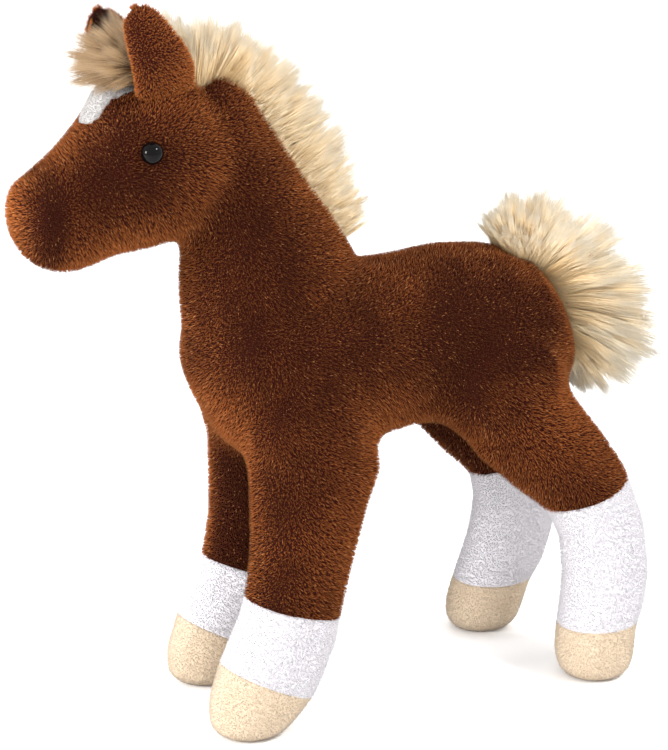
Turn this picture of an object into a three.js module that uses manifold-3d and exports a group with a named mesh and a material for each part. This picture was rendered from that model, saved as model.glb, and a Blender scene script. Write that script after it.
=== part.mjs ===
// A standing plush foal: sewn covers of pile cloth over soft filling, with long-pile mane, forelock and
// tail, and safety eyes held by washers. The nose points along -X, the foal's left side is -Y and the
// ground is z = 0.
// Legs, head, ears and tail flex at their seams, so each has a round seat that it turns in.
import * as THREE from "three";
import { mergeVertices } from "three/addons/utils/BufferGeometryUtils.js";
import Module from "manifold-3d";

const wasm = await Module();
wasm.setup();

// Shared values, in millimetres
const GAP = 0.3; // between pieces that touch
const CLOTH = 3; // backing and laid pile of the plush
const GROUND = 0;
const MIDDLE_X = 6.65; // how far the middle of the foal lies behind the line that lengths start from
const SOLE_FLAT = 0.5; // how much of each rounded hoof is pressed flat by the ground
const CUT_REACH = 400; // overrun of every cutting plane's box
const LEAST_RADIUS = 0.8; // of a shrunken section at the end of a form

// Barrel, from breast to rump
const BARREL_FRONT_X = -67.5;
const BARREL_LENGTH = 179;
const BARREL_AXIS_Z = 151;
const BARREL_HEIGHT = 83;
const BARREL_WIDTH = 75;
// Each row: place along the length, rise of the middle and half height in heights, half width in widths
const BARREL_SHARES = [
  [0.0, 0.09, 0.07, 0.09],
  [0.018, 0.07, 0.17, 0.2],
  [0.045, 0.06, 0.28, 0.31],
  [0.09, 0.035, 0.41, 0.41],
  [0.15, 0.0, 0.485, 0.47],
  [0.275, -0.005, 0.5, 0.5],
  [0.41, -0.002, 0.477, 0.49],
  [0.54, 0.022, 0.458, 0.475],
  [0.66, 0.05, 0.455, 0.475],
  [0.78, 0.035, 0.445, 0.49],
  [0.868, 0.005, 0.415, 0.47],
  [0.92, -0.036, 0.333, 0.39],
  [0.962, -0.09, 0.226, 0.28],
  [0.99, -0.14, 0.107, 0.14],
  [1.0, -0.15, 0.04, 0.05],
];

// Neck, from inside the barrel up to the back of the head
const NECK_BASE_X = -27;
const NECK_BASE_Z = 160;
const NECK_RISE = 107;
const NECK_REACH = 34; // how far the top stands in front of the base
const NECK_DEPTH = 82; // fore and aft
const NECK_WIDTH = 60;
// Each row: rise, reach, half depth, half width, and the slope of the section in degrees
const NECK_SHARES = [
  [0.0, 0.0, 0.5, 0.42, 2],
  [0.24, 0.09, 0.485, 0.48, 14],
  [0.37, 0.25, 0.437, 0.44, 21],
  [0.52, 0.42, 0.37, 0.4, 28],
  [0.69, 0.64, 0.325, 0.36, 34],
  [0.88, 0.83, 0.26, 0.31, 39],
  [1.0, 1.02, 0.17, 0.14, 40],
];

// Head. Its round cheeks turn about the pivot in a hollow of the neck.
const HEAD_PIVOT_X = -78;
const HEAD_PIVOT_Z = 240;
const CHEEK_RADIUS = 33.5;
const MUZZLE_REACH = 62.4; // from the pivot to the end of the nose
const HEAD_WIDTH = 57;
const HEAD_NOD = 10; // degrees, up and down
const NECK_OPENING_INSET = 8; // of the opening in the head's cover, inside the neck's outline
const CHEEK_TURNS = [8, 26, 48, 69]; // degrees round the cheek from its rearmost point, row by row
// Each row in front: reach, rise and half height in cheek radii, half width in head widths
const FACE_SHARES = [
  [0.0, 0.02, 1.04, 0.5],
  [0.19, -0.035, 1.025, 0.5],
  [0.36, -0.1, 0.975, 0.47],
  [0.53, -0.325, 0.87, 0.415],
  [0.656, -0.46, 0.77, 0.385],
  [0.766, -0.525, 0.665, 0.37],
  [0.875, -0.545, 0.535, 0.335],
  [0.953, -0.5, 0.41, 0.26],
  [1.0, -0.49, 0.17, 0.12],
];

// Front and hind legs. Each has a round top that turns in the barrel, and one loft from there to the ground.
const FRONT_LEG = {
  pivotX: -24,
  pivotZ: 129,
  pivotY: 22,
  footY: 31,
  drumRadius: 27,
  drumWidth: 32,
  depth: 51,
  width: 35,
  swing: 15,
  // Each row: height, forward place in depths, half depth, half width, slope of the section in degrees
  shares: [
    [1.0, -0.01, 0.5, 0.47, 0],
    [0.93, -0.06, 0.56, 0.49, 0],
    [0.84, -0.09, 0.6, 0.49, 0],
    [0.72, -0.025, 0.53, 0.49, 0],
    [0.59, 0.04, 0.475, 0.47, -5],
    [0.46, 0.12, 0.45, 0.465, -12],
    [0.34, 0.2, 0.455, 0.47, -24],
    [0.25, 0.305, 0.46, 0.48, -28],
    [0.175, 0.405, 0.455, 0.49, -24],
    [0.1, 0.505, 0.42, 0.5, -10],
    [0.04, 0.555, 0.365, 0.46, 0],
    [0.0, 0.56, 0.24, 0.3, 0],
  ],
  sockShare: [0.4, 0.16, -18], // seam under the brown plush: height, forward place and slope
  hoofShare: [0.175, 0.43, -26], // seam round the hoof
};
const HIND_LEG = {
  pivotX: 66,
  pivotZ: 137,
  pivotY: 24,
  footY: 36,
  drumRadius: 29,
  drumWidth: 33,
  depth: 62,
  width: 36,
  swing: 12,
  shares: [
    [1.0, 0.0, 0.455, 0.46, 0],
    [0.93, -0.09, 0.45, 0.48, 8],
    [0.83, -0.22, 0.435, 0.49, 18],
    [0.73, -0.43, 0.385, 0.49, 27],
    [0.62, -0.652, 0.333, 0.465, 26],
    [0.48, -0.775, 0.327, 0.46, 8],
    [0.34, -0.8, 0.33, 0.47, 0],
    [0.24, -0.77, 0.327, 0.475, -3],
    [0.165, -0.72, 0.303, 0.475, 0],
    [0.09, -0.7, 0.298, 0.475, 0],
    [0.035, -0.7, 0.275, 0.45, 0],
    [0.0, -0.7, 0.19, 0.3, 0],
  ],
  sockShare: [0.6, -0.63, 17],
  hoofShare: [0.175, -0.72, 0],
};
// How far each foot stands forward (-) or back (+) of its pair's mean place
const LEFT_FRONT_STEP = 0;
const RIGHT_FRONT_STEP = 6;
const LEFT_HIND_STEP = 0;
const RIGHT_HIND_STEP = -19;

// Ears, cupped and open towards each other. The right one is set lower.
const EAR_X = -75.5;
const EAR_Y = 16.5;
const LEFT_EAR_ROOT_Z = 265;
const RIGHT_EAR_ROOT_Z = 258.5;
const EAR_LENGTH = 45;
const EAR_DEPTH = 28;
const EAR_WIDTH = 17;
const EAR_LEAN_FORWARD = 23; // degrees
const EAR_LEAN_OUT = 6;
const EAR_FLEX = 15;
const EAR_CLOTH = 2;
const EAR_OPENING = 4; // how far the hollow is moved inwards to break out on the inner side
const LINING_CLOTH = 1.2;
// Each row: place along the ear, half depth and half width
const EAR_SHARES = [
  [0.0, 0.46, 0.44],
  [0.3, 0.5, 0.5],
  [0.6, 0.46, 0.46],
  [0.82, 0.38, 0.38],
  [0.94, 0.26, 0.26],
  [1.0, 0.12, 0.13],
];

// White blaze, a panel let into the forehead. Its outline lies in the plane that looks straight at it.
const BLAZE_TILT = 54; // degrees from level
const BLAZE_X = -104; // middle of the panel
const BLAZE_Z = 267;
const BLAZE_LENGTH = 36;
const BLAZE_WIDTH = 30;
const BLAZE_DEPTH = 16; // of the cut, enough to take the whole thickness of the cover
const BLAZE_STEPS = 16;
// Half of the outline, top to bottom: share of the width to one side, and of the length above the middle
const BLAZE_SHARES = [
  [0.1, 0.39],
  [0.17, 0.3],
  [0.27, 0.2],
  [0.345, 0.055],
  [0.32, -0.085],
  [0.27, -0.2],
  [0.12, -0.28],
];

// Safety eyes: a dome on a ribbed shank, with a washer pressed on inside the head
const EYE_X = -90;
const EYE_Z = 250;
const EYE_TILT_UP = 17; // degrees, square to the cover
const EYE_TILT_FORWARD = 6;
const EYE_DIAMETER = 9;
const EYE_DOME_HEIGHT = 4;
const EYE_EDGE = 0.8;
const SHANK_DIAMETER = 3;
const SHANK_LENGTH = 11;
const SHANK_RIB = 0.25;
const SHANK_RIBS = 2;
const WASHER_DIAMETER = 10;
const WASHER_THICKNESS = 1.2;
const WASHER_HUB_DIAMETER = 6.4;
const WASHER_HUB_LENGTH = 2.4;
const WASHER_DEPTH = 2.6; // how far its rim draws in from the inside of the cover

// Mane: the space that its pile fills along the crest
const MANE_HEIGHT = 24;
const MANE_WIDTH = 17;
// Each row: forward reach and rise as shares of the neck's, half height, half width, slope in degrees
const MANE_SHARES = [
  [1.1, 1.165, 0.3, 0.26, 84],
  [0.92, 1.165, 0.46, 0.42, 80],
  [0.62, 1.14, 0.48, 0.47, 68],
  [0.15, 1.055, 0.45, 0.5, 49],
  [-0.19, 0.93, 0.5, 0.5, 34],
  [-0.58, 0.72, 0.5, 0.5, 32],
  [-0.86, 0.55, 0.38, 0.46, 35],
  [-1.04, 0.445, 0.28, 0.36, 41],
  [-1.15, 0.375, 0.16, 0.18, 50],
];

// Forelock: a tuft that rises between the ears and falls over the blaze
const FORELOCK_ROOT_X = -80;
const FORELOCK_ROOT_Z = 275;
const FORELOCK_LENGTH = 32;
const FORELOCK_HEIGHT = 22;
const FORELOCK_WIDTH = 25;
// Each row: forward place and rise in lengths, half height, half width, slope of the section in degrees
const FORELOCK_SHARES = [
  [0.0, -0.12, 0.32, 0.22, 20],
  [0.16, 0.26, 0.42, 0.3, 50],
  [0.42, 0.34, 0.5, 0.42, 84],
  [0.7, 0.25, 0.48, 0.5, 100],
  [0.92, 0.08, 0.3, 0.36, 114],
  [1.0, 0.0, 0.12, 0.16, 118],
];

// Tail: a full tuft that lies on the croup and falls behind the rump
const TAIL_ROOT_X = 82;
const TAIL_ROOT_SHARE = 0.42; // how high the root is over the barrel's axis, in barrel heights
const TAIL_REACH = 51.7; // of its middle behind the root
const TAIL_DROP = 64; // of its end below the root
const TAIL_THICKNESS = 48;
const TAIL_WIDTH = 50;
const TAIL_LIFT = 20; // degrees, upwards
const TAIL_SAG = 4; // degrees, downwards
// Each row: reach, rise in drops, half thickness, half width, slope of the section in degrees
const TAIL_SHARES = [
  [-0.17, 0.14, 0.12, 0.16, 90],
  [-0.09, 0.145, 0.23, 0.26, 90],
  [0.06, 0.125, 0.34, 0.34, 82],
  [0.31, 0.045, 0.415, 0.42, 63],
  [0.62, -0.14, 0.455, 0.48, 45],
  [0.85, -0.41, 0.48, 0.5, 22],
  [0.95, -0.67, 0.47, 0.48, 5],
  [0.9, -0.87, 0.44, 0.42, 0],
  [0.86, -1.0, 0.3, 0.28, 0],
];

// How finely round forms are cut into flats
const SKIN_SIDES = 16;
const LEG_SIDES = 12;
const FILLING_SIDES = 8;
const LEG_FILLING_SIDES = 6;
const DRUM_SIDES = 16;
const SMALL_SIDES = 12;
const DOME_STEPS = 3;
const CHEEK_STEPS = 8;
const EAR_SIDES = 8;
const HALF = 0.5;
const STRAIGHT_UP = 90; // degrees

const radians = THREE.MathUtils.degToRad;

// A closed geometry as a solid that can be joined and cut
function solid(geometry) {
  const bare = geometry.clone();
  bare.deleteAttribute("normal");
  bare.deleteAttribute("uv");
  const merged = mergeVertices(bare);
  const made = new wasm.Manifold(
    new wasm.Mesh({
      numProp: 3,
      vertProperties: merged.attributes.position.array,
      triVerts: new Uint32Array(merged.index.array),
    }),
  );
  return made;
}

// The solid as a geometry again, without the crumbs that a cut may leave
function geometryOf(cut) {
  const whole = cut.decompose().sort((a, b) => b.volume() - a.volume())[0];
  const mesh = whole.getMesh();
  const geometry = new THREE.BufferGeometry();
  geometry.setAttribute("position", new THREE.BufferAttribute(mesh.vertProperties, 3));
  geometry.setIndex(new THREE.BufferAttribute(mesh.triVerts, 1));
  const faceted = geometry.toNonIndexed();
  faceted.computeVertexNormals();
  return faceted;
}

const join = (parts) => parts.reduce((all, next) => all.add(next));

// The section at a share of the way from one to the next
const between = (from, to, share) => ({
  place: from.place.clone().lerp(to.place, share),
  deep: THREE.MathUtils.lerp(from.deep, to.deep, share),
  wide: THREE.MathUtils.lerp(from.wide, to.wide, share),
  slope: THREE.MathUtils.lerp(from.slope, to.slope, share),
});

// A run of sections without its first stretch of the given length
function trimmed(sections, inset) {
  let [first, ...rest] = sections;
  let left = inset;
  while (rest.length > 1 && first.place.distanceTo(rest[0].place) <= left) {
    left -= first.place.distanceTo(rest[0].place);
    first = rest.shift();
  }
  return [between(first, rest[0], left / first.place.distanceTo(rest[0].place)), ...rest];
}

// A run of sections with its first one moved outwards
function extended([first, next, ...rest], reach) {
  const place = first.place.clone().sub(next.place).setLength(reach).add(first.place);
  return [{ ...first, place }, next, ...rest];
}

// A closed form through oval sections. A section's deep half size lies along its slope in the XZ plane,
// its wide half size along Y. Growing it moves its surface outwards, or inwards where grow is negative.
function loft(sections, sides, grow = 0) {
  const ended = (run) => (grow < 0 ? trimmed(run, -grow) : grow > 0 ? extended(run, grow) : run);
  const run = ended(ended(sections).toReversed()).toReversed();
  const points = [];
  const faces = [];
  const last = run.length - 1;
  for (const { place, deep, wide, slope } of run) {
    for (let side = 0; side < sides; side++) {
      const turn = (2 * Math.PI * side) / sides;
      const along = Math.max(deep + grow, LEAST_RADIUS) * Math.cos(turn);
      const across = Math.max(wide + grow, LEAST_RADIUS) * Math.sin(turn);
      points.push(
        place.x + along * Math.cos(slope),
        place.y + across,
        place.z + along * Math.sin(slope),
      );
    }
  }
  const ringPoint = (row, side) => row * sides + (side % sides);
  for (let row = 0; row < last; row++) {
    for (let side = 0; side < sides; side++) {
      const [a, b] = [ringPoint(row, side), ringPoint(row, side + 1)];
      const [c, d] = [ringPoint(row + 1, side + 1), ringPoint(row + 1, side)];
      faces.push(a, b, c, a, c, d);
    }
  }
  for (let side = 1; side < sides - 1; side++) {
    faces.push(ringPoint(0, 0), ringPoint(0, side + 1), ringPoint(0, side));
    faces.push(ringPoint(last, 0), ringPoint(last, side), ringPoint(last, side + 1));
  }
  return facingOut(points, faces);
}

// Turns the faces round if they enclose a negative volume
function facingOut(points, faces) {
  const corner = (index) => new THREE.Vector3().fromArray(points, 3 * index);
  let volume = 0;
  for (let at = 0; at < faces.length; at += 3) {
    const [a, b, c] = [corner(faces[at]), corner(faces[at + 1]), corner(faces[at + 2])];
    volume += a.dot(b.cross(c));
  }
  const geometry = new THREE.BufferGeometry();
  geometry.setAttribute("position", new THREE.Float32BufferAttribute(points, 3));
  geometry.setIndex(volume < 0 ? [...faces].reverse() : faces);
  return geometry;
}

const section = (x, y, z, deep, wide, slope) => ({
  place: new THREE.Vector3(x, y, z),
  deep,
  wide,
  slope: radians(slope),
});

// A turn about the line through (x, z) along Y. A positive angle carries +Z towards +X.
function turnAboutY(x, z, degrees) {
  const matrix = new THREE.Matrix4().makeTranslation(x, 0, z);
  matrix.multiply(new THREE.Matrix4().makeRotationY(radians(degrees)));
  return matrix.multiply(new THREE.Matrix4().makeTranslation(-x, 0, -z));
}

// What a geometry passes through as it turns from one angle to another in the given number of steps
function sweep(geometry, x, z, from, to, steps) {
  const places = [];
  for (let step = 0; step <= steps; step++) {
    const degrees = from + ((to - from) * step) / steps;
    places.push(solid(geometry.clone().applyMatrix4(turnAboutY(x, z, degrees))));
  }
  return join(places);
}

const barrelSections = BARREL_SHARES.map(([along, rise, tall, wide]) =>
  section(
    BARREL_FRONT_X + along * BARREL_LENGTH,
    0,
    BARREL_AXIS_Z + rise * BARREL_HEIGHT,
    tall * BARREL_HEIGHT,
    wide * BARREL_WIDTH,
    STRAIGHT_UP,
  ),
);

const neckSections = NECK_SHARES.map(([rise, reach, deep, wide, slope]) =>
  section(
    NECK_BASE_X - reach * NECK_REACH,
    0,
    NECK_BASE_Z + rise * NECK_RISE,
    deep * NECK_DEPTH,
    wide * NECK_WIDTH,
    slope,
  ),
);

const headSections = [
  ...CHEEK_TURNS.map((degrees) =>
    section(
      HEAD_PIVOT_X + CHEEK_RADIUS * Math.cos(radians(degrees)),
      0,
      HEAD_PIVOT_Z,
      CHEEK_RADIUS * Math.sin(radians(degrees)),
      HALF * HEAD_WIDTH * Math.sin(radians(degrees)),
      STRAIGHT_UP,
    ),
  ),
  ...FACE_SHARES.map(([reach, rise, tall, wide]) =>
    section(
      HEAD_PIVOT_X - reach * MUZZLE_REACH,
      0,
      HEAD_PIVOT_Z + rise * CHEEK_RADIUS,
      tall * CHEEK_RADIUS,
      wide * HEAD_WIDTH,
      STRAIGHT_UP,
    ),
  ),
];

// One leg's sections from its hinge down to the sole. side is -1 on the left and 1 on the right.
function legSections(leg, side, step) {
  return leg.shares.map(([height, forward, deep, wide, slope]) => {
    const reach = legReach(leg, step, height, forward);
    const y = side * THREE.MathUtils.lerp(leg.footY, leg.pivotY, height);
    const z = height * leg.pivotZ - SOLE_FLAT;
    return section(reach, y, z, deep * leg.depth, wide * leg.width, slope);
  });
}

const legReach = (leg, step, height, forward) =>
  leg.pivotX - forward * leg.depth + step * (1 - height);

// The round top of a leg: a flat wheel with softened rims whose axle is the hinge
function legDrum(leg, side, sides, grow = 0) {
  const slack = grow > 0 ? 1 / Math.cos(Math.PI / sides) : 1; // so that the flats of a cutter clear the drum
  const radius = slack * (leg.drumRadius + grow);
  const half = HALF * leg.drumWidth + grow;
  const rim = HALF * HALF * leg.drumWidth;
  const outline = [
    new THREE.Vector2(0, -half),
    new THREE.Vector2(radius - rim, -half),
    new THREE.Vector2(radius, rim - half),
    new THREE.Vector2(radius, half - rim),
    new THREE.Vector2(radius - rim, half),
    new THREE.Vector2(0, half),
  ];
  const drum = new THREE.LatheGeometry(outline, sides);
  drum.translate(leg.pivotX, side * leg.pivotY, leg.pivotZ);
  return drum;
}

// The half of space above (way 1) or below (way -1) a seam, as a box half a gap away from it
function seamBox(leg, step, [height, forward, slope], way) {
  const box = new THREE.BoxGeometry(CUT_REACH, CUT_REACH, CUT_REACH);
  box.translate(0, 0, way * (HALF * CUT_REACH + HALF * GAP));
  box.rotateY(-radians(slope));
  const x = legReach(leg, step, height, forward);
  box.translate(x, 0, height * leg.pivotZ);
  return solid(box);
}

function groundCut(form) {
  const earth = new THREE.BoxGeometry(CUT_REACH, CUT_REACH, CUT_REACH);
  earth.translate(0, 0, GROUND - HALF * CUT_REACH);
  return form.subtract(solid(earth));
}

// A leg in four pieces: plush cover, white sock, hoof, and the filling that runs through all three
function makeLeg(leg, side, step) {
  const sections = legSections(leg, side, step);
  const outside = groundCut(solid(loft(sections, LEG_SIDES)).add(solid(legDrum(leg, side, DRUM_SIDES))));
  const hollow = join([
    solid(loft(sections, LEG_FILLING_SIDES, -CLOTH)),
    solid(legDrum(leg, side, LEG_SIDES, -CLOTH)),
  ]);
  const cover = outside.subtract(hollow);
  const filling = solid(loft(sections, LEG_FILLING_SIDES, -CLOTH - GAP)).add(
    solid(legDrum(leg, side, LEG_SIDES, -CLOTH - GAP)),
  );
  const belowSock = seamBox(leg, step, leg.sockShare, -1);
  const aboveSock = seamBox(leg, step, leg.sockShare, 1);
  const belowHoof = seamBox(leg, step, leg.hoofShare, -1);
  const aboveHoof = seamBox(leg, step, leg.hoofShare, 1);
  const cutter = solid(legDrum(leg, side, DRUM_SIDES, GAP)).add(
    sweep(loft(sections, LEG_SIDES, 2 * GAP), leg.pivotX, leg.pivotZ, -leg.swing, leg.swing, 2),
  );
  return {
    upper: cover.intersect(aboveSock),
    sock: cover.intersect(belowSock).intersect(aboveHoof),
    hoof: cover.intersect(belowHoof),
    filling,
    cutter,
  };
}

const earRootZ = (side) => (side < 0 ? LEFT_EAR_ROOT_Z : RIGHT_EAR_ROOT_Z);

// The ear's sections from its root up, moved towards the middle of the head by the given distance
const earSections = (side, inwards) =>
  EAR_SHARES.map(([along, deep, wide]) => {
    const lean = radians(EAR_LEAN_FORWARD);
    const rise = along * EAR_LENGTH;
    const x = EAR_X - rise * Math.sin(lean);
    const y = side * (EAR_Y - inwards + rise * Math.sin(radians(EAR_LEAN_OUT)));
    const z = earRootZ(side) + rise * Math.cos(lean);
    return section(x, y, z, deep * EAR_DEPTH, wide * EAR_WIDTH, EAR_LEAN_FORWARD);
  });

// What an ear turns against: the crown, at every angle of the ear
function crownRoom(side) {
  return sweep(loft(headSections, SKIN_SIDES, GAP), EAR_X, earRootZ(side), -EAR_FLEX, EAR_FLEX, 2);
}

// An ear's cupped cover and the lining of its hollow
function makeEar(side) {
  const envelope = solid(loft(earSections(side, 0), EAR_SIDES)).subtract(crownRoom(side));
  const hollow = (grow) => solid(loft(earSections(side, EAR_OPENING), EAR_SIDES, grow));
  const liningHollow = loft(earSections(side, 2 * EAR_OPENING), EAR_SIDES, -EAR_CLOTH - LINING_CLOTH);
  return {
    outer: envelope.subtract(hollow(-EAR_CLOTH)),
    lining: hollow(-EAR_CLOTH - GAP).intersect(envelope).subtract(solid(liningHollow)),
  };
}

// The prism that cuts the blaze out of the cover, grown sideways by the given amount
function blazePrism(grow) {
  const half = BLAZE_SHARES.map(
    ([aside, up]) => new THREE.Vector2(aside * BLAZE_WIDTH, up * BLAZE_LENGTH),
  );
  const mirrored = half.map((point) => new THREE.Vector2(-point.x, point.y)).reverse();
  const outline = [...half, ...mirrored].map((point) => point.setLength(point.length() + grow));
  const curve = new THREE.SplineCurve([...outline, outline[0]]);
  const shape = new THREE.Shape(curve.getPoints(BLAZE_STEPS).slice(0, -1));
  const prism = new THREE.ExtrudeGeometry(shape, { depth: 2 * BLAZE_DEPTH, bevelEnabled: false });
  prism.translate(0, 0, -BLAZE_DEPTH);
  const tilt = radians(BLAZE_TILT);
  const across = new THREE.Vector3(0, -1, 0);
  const upwards = new THREE.Vector3(Math.cos(tilt), 0, Math.sin(tilt));
  const outwards = across.clone().cross(upwards);
  prism.applyMatrix4(new THREE.Matrix4().makeBasis(across, upwards, outwards));
  prism.translate(BLAZE_X, 0, BLAZE_Z);
  return solid(prism);
}

// How far the head's side lies from its middle plane at a place
function headSideY(x, z) {
  const face = headSections.slice(CHEEK_TURNS.length);
  const next = face.findIndex((one) => one.place.x < x);
  const [behind, ahead] = [face[next - 1], face[next]];
  const share = (x - behind.place.x) / (ahead.place.x - behind.place.x);
  const here = between(behind, ahead, share);
  return here.wide * Math.sqrt(1 - ((z - here.place.z) / here.deep) ** 2);
}

// The ball that the cheeks turn in, round the axis of the nod, with its flats outside the true ball
function cheekRoom(grow) {
  const slack = 1 / (Math.cos(Math.PI / DRUM_SIDES) * Math.cos(Math.PI / (2 * CHEEK_STEPS)));
  const outline = [];
  for (let step = 0; step <= CHEEK_STEPS; step++) {
    const turn = Math.PI * (step / CHEEK_STEPS - HALF);
    const radius = step % CHEEK_STEPS === 0 ? 0 : slack * (CHEEK_RADIUS + grow) * Math.cos(turn);
    const reach = slack * (HALF * HEAD_WIDTH + grow) * Math.sin(turn);
    outline.push(new THREE.Vector2(radius, reach));
  }
  return new THREE.LatheGeometry(outline, DRUM_SIDES).translate(HEAD_PIVOT_X, 0, HEAD_PIVOT_Z);
}

// Stands a lathe's form on the side of the head, with its axis outwards
function seatEye(geometry, side) {
  const outwards = new THREE.Vector3(
    -Math.sin(radians(EYE_TILT_FORWARD)),
    side * Math.cos(radians(EYE_TILT_UP)),
    Math.sin(radians(EYE_TILT_UP)),
  ).normalize();
  const standing = geometry.clone().rotateX(radians(STRAIGHT_UP));
  standing.applyQuaternion(
    new THREE.Quaternion().setFromUnitVectors(new THREE.Vector3(0, 0, 1), outwards),
  );
  return standing.translate(EYE_X, side * headSideY(EYE_X, EYE_Z), EYE_Z);
}

// A form turned about its axis from pairs of radius and height
function turned(outline, sides) {
  const points = outline.map(([radius, height]) => new THREE.Vector2(radius, height));
  return new THREE.LatheGeometry(points, sides);
}

// The eye's outline from the tip of its shank to the top of its dome
function eyeOutline() {
  const radius = HALF * EYE_DIAMETER;
  const core = HALF * SHANK_DIAMETER;
  const outline = [
    [0, -SHANK_LENGTH],
    [core - SHANK_RIB, -SHANK_LENGTH],
  ];
  const pitch = (SHANK_LENGTH - GAP) / (SHANK_RIBS + 1);
  for (let rib = 1; rib <= SHANK_RIBS; rib++) {
    const height = -SHANK_LENGTH + rib * pitch;
    outline.push([core, height - HALF * pitch], [core + SHANK_RIB, height], [core, height]);
  }
  outline.push([core, GAP], [radius - EYE_EDGE, GAP], [radius, GAP + EYE_EDGE]);
  const steps = DOME_STEPS;
  for (let step = 1; step < steps; step++) {
    const turn = (HALF * Math.PI * step) / steps;
    const crown = EYE_DOME_HEIGHT - EYE_EDGE;
    outline.push([radius * Math.cos(turn), GAP + EYE_EDGE + crown * Math.sin(turn)]);
  }
  outline.push([0, GAP + EYE_DOME_HEIGHT]);
  return outline;
}

// The washer's outline from the top of its hub round to its bore, with a margin for cutting its room
function washerOutline(margin) {
  const top = -CLOTH - WASHER_DEPTH + margin;
  const rim = HALF * WASHER_DIAMETER + margin;
  const hub = HALF * WASHER_HUB_DIAMETER + margin;
  const under = top - WASHER_THICKNESS - 2 * margin;
  return [
    [rim, top],
    [rim, under],
    [hub, under],
    [hub, under - WASHER_HUB_LENGTH],
  ];
}

const boreRadius = HALF * SHANK_DIAMETER + SHANK_RIB + GAP;
const washerRing = () => {
  const outline = washerOutline(0).reverse();
  const foot = outline[0][1];
  const top = outline[outline.length - 1][1];
  return turned(
    [[boreRadius, foot], ...outline, [boreRadius, top], [boreRadius, foot]],
    SMALL_SIDES,
  );
};
const washerRoom = () => {
  const outline = washerOutline(GAP).reverse();
  const foot = outline[0][1];
  const top = outline[outline.length - 1][1];
  return turned([[0, foot], ...outline, [0, top]], SMALL_SIDES);
};
const shankRoom = () =>
  turned(
    [
      [0, -SHANK_LENGTH - GAP],
      [boreRadius, -SHANK_LENGTH - GAP],
      [boreRadius, EYE_DOME_HEIGHT],
      [0, EYE_DOME_HEIGHT],
    ],
    SMALL_SIDES,
  );

const maneSections = MANE_SHARES.map(([reach, rise, tall, wide, slope]) =>
  section(
    NECK_BASE_X - reach * NECK_REACH,
    0,
    NECK_BASE_Z + rise * NECK_RISE,
    tall * MANE_HEIGHT,
    wide * MANE_WIDTH,
    slope,
  ),
);

const forelockSections = FORELOCK_SHARES.map(([forward, rise, tall, wide, slope]) =>
  section(
    FORELOCK_ROOT_X - forward * FORELOCK_LENGTH,
    0,
    FORELOCK_ROOT_Z + rise * FORELOCK_LENGTH,
    tall * FORELOCK_HEIGHT,
    wide * FORELOCK_WIDTH,
    slope,
  ),
);

const tailRootZ = BARREL_AXIS_Z + TAIL_ROOT_SHARE * BARREL_HEIGHT;
const tailSections = TAIL_SHARES.map(([reach, rise, thick, wide, slope]) =>
  section(
    TAIL_ROOT_X + reach * TAIL_REACH,
    0,
    tailRootZ + rise * TAIL_DROP,
    thick * TAIL_THICKNESS,
    wide * TAIL_WIDTH,
    slope,
  ),
);

const legs = {
  front_left: makeLeg(FRONT_LEG, -1, LEFT_FRONT_STEP),
  front_right: makeLeg(FRONT_LEG, 1, RIGHT_FRONT_STEP),
  hind_left: makeLeg(HIND_LEG, -1, LEFT_HIND_STEP),
  hind_right: makeLeg(HIND_LEG, 1, RIGHT_HIND_STEP),
};
const legRoom = join(Object.values(legs).map((leg) => leg.cutter));
const headRoom = solid(cheekRoom(GAP));

const barrelOutside = solid(loft(barrelSections, SKIN_SIDES));
const barrelHollow = solid(loft(barrelSections, FILLING_SIDES, -CLOTH));
const neckHollow = solid(loft(neckSections, FILLING_SIDES, -CLOTH));
const torsoSkin = barrelOutside.subtract(barrelHollow).subtract(neckHollow).subtract(legRoom);
const torsoFilling = solid(loft(barrelSections, FILLING_SIDES, -CLOTH - GAP)).subtract(legRoom);

const neckSkin = solid(loft(neckSections, SKIN_SIDES))
  .subtract(neckHollow)
  .subtract(solid(loft(barrelSections, SKIN_SIDES, GAP)))
  .subtract(headRoom);
const neckFilling = solid(loft(neckSections, FILLING_SIDES, -CLOTH - GAP))
  .subtract(barrelHollow)
  .subtract(headRoom);

const bothSides = { left: -1, right: 1 };
const shankRooms = join(Object.values(bothSides).map((side) => solid(seatEye(shankRoom(), side))));
const washerRooms = join(Object.values(bothSides).map((side) => solid(seatEye(washerRoom(), side))));
const headCover = solid(loft(headSections, SKIN_SIDES))
  .subtract(solid(loft(headSections, LEG_SIDES, -CLOTH)))
  .subtract(shankRooms)
  .subtract(washerRooms)
  .subtract(solid(loft(neckSections, FILLING_SIDES, -NECK_OPENING_INSET)));
const headSkin = headCover.subtract(blazePrism(GAP));
const blaze = headCover.intersect(blazePrism(0));
const headFilling = solid(loft(headSections, LEG_SIDES, -CLOTH - GAP))
  .subtract(shankRooms)
  .subtract(washerRooms);

const ears = { left: makeEar(-1), right: makeEar(1) };
const earRoom = join(
  Object.values(bothSides).map((side) =>
    sweep(loft(earSections(side, 0), EAR_SIDES, GAP), EAR_X, earRootZ(side), -EAR_FLEX, EAR_FLEX, 2),
  ),
);
const forelock = solid(loft(forelockSections, LEG_SIDES))
  .subtract(solid(loft(headSections, SKIN_SIDES, GAP)))
  .subtract(earRoom);
const mane = solid(loft(maneSections, LEG_SIDES))
  .subtract(solid(loft(neckSections, SKIN_SIDES, GAP)))
  .subtract(solid(loft(barrelSections, SKIN_SIDES, GAP)))
  .subtract(headRoom);
const rump = loft(barrelSections, SKIN_SIDES, GAP);
const rumpRoom = sweep(rump, TAIL_ROOT_X, tailRootZ, -TAIL_SAG, TAIL_LIFT, 3);
const tail = solid(loft(tailSections, LEG_SIDES)).subtract(rumpRoom);

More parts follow.
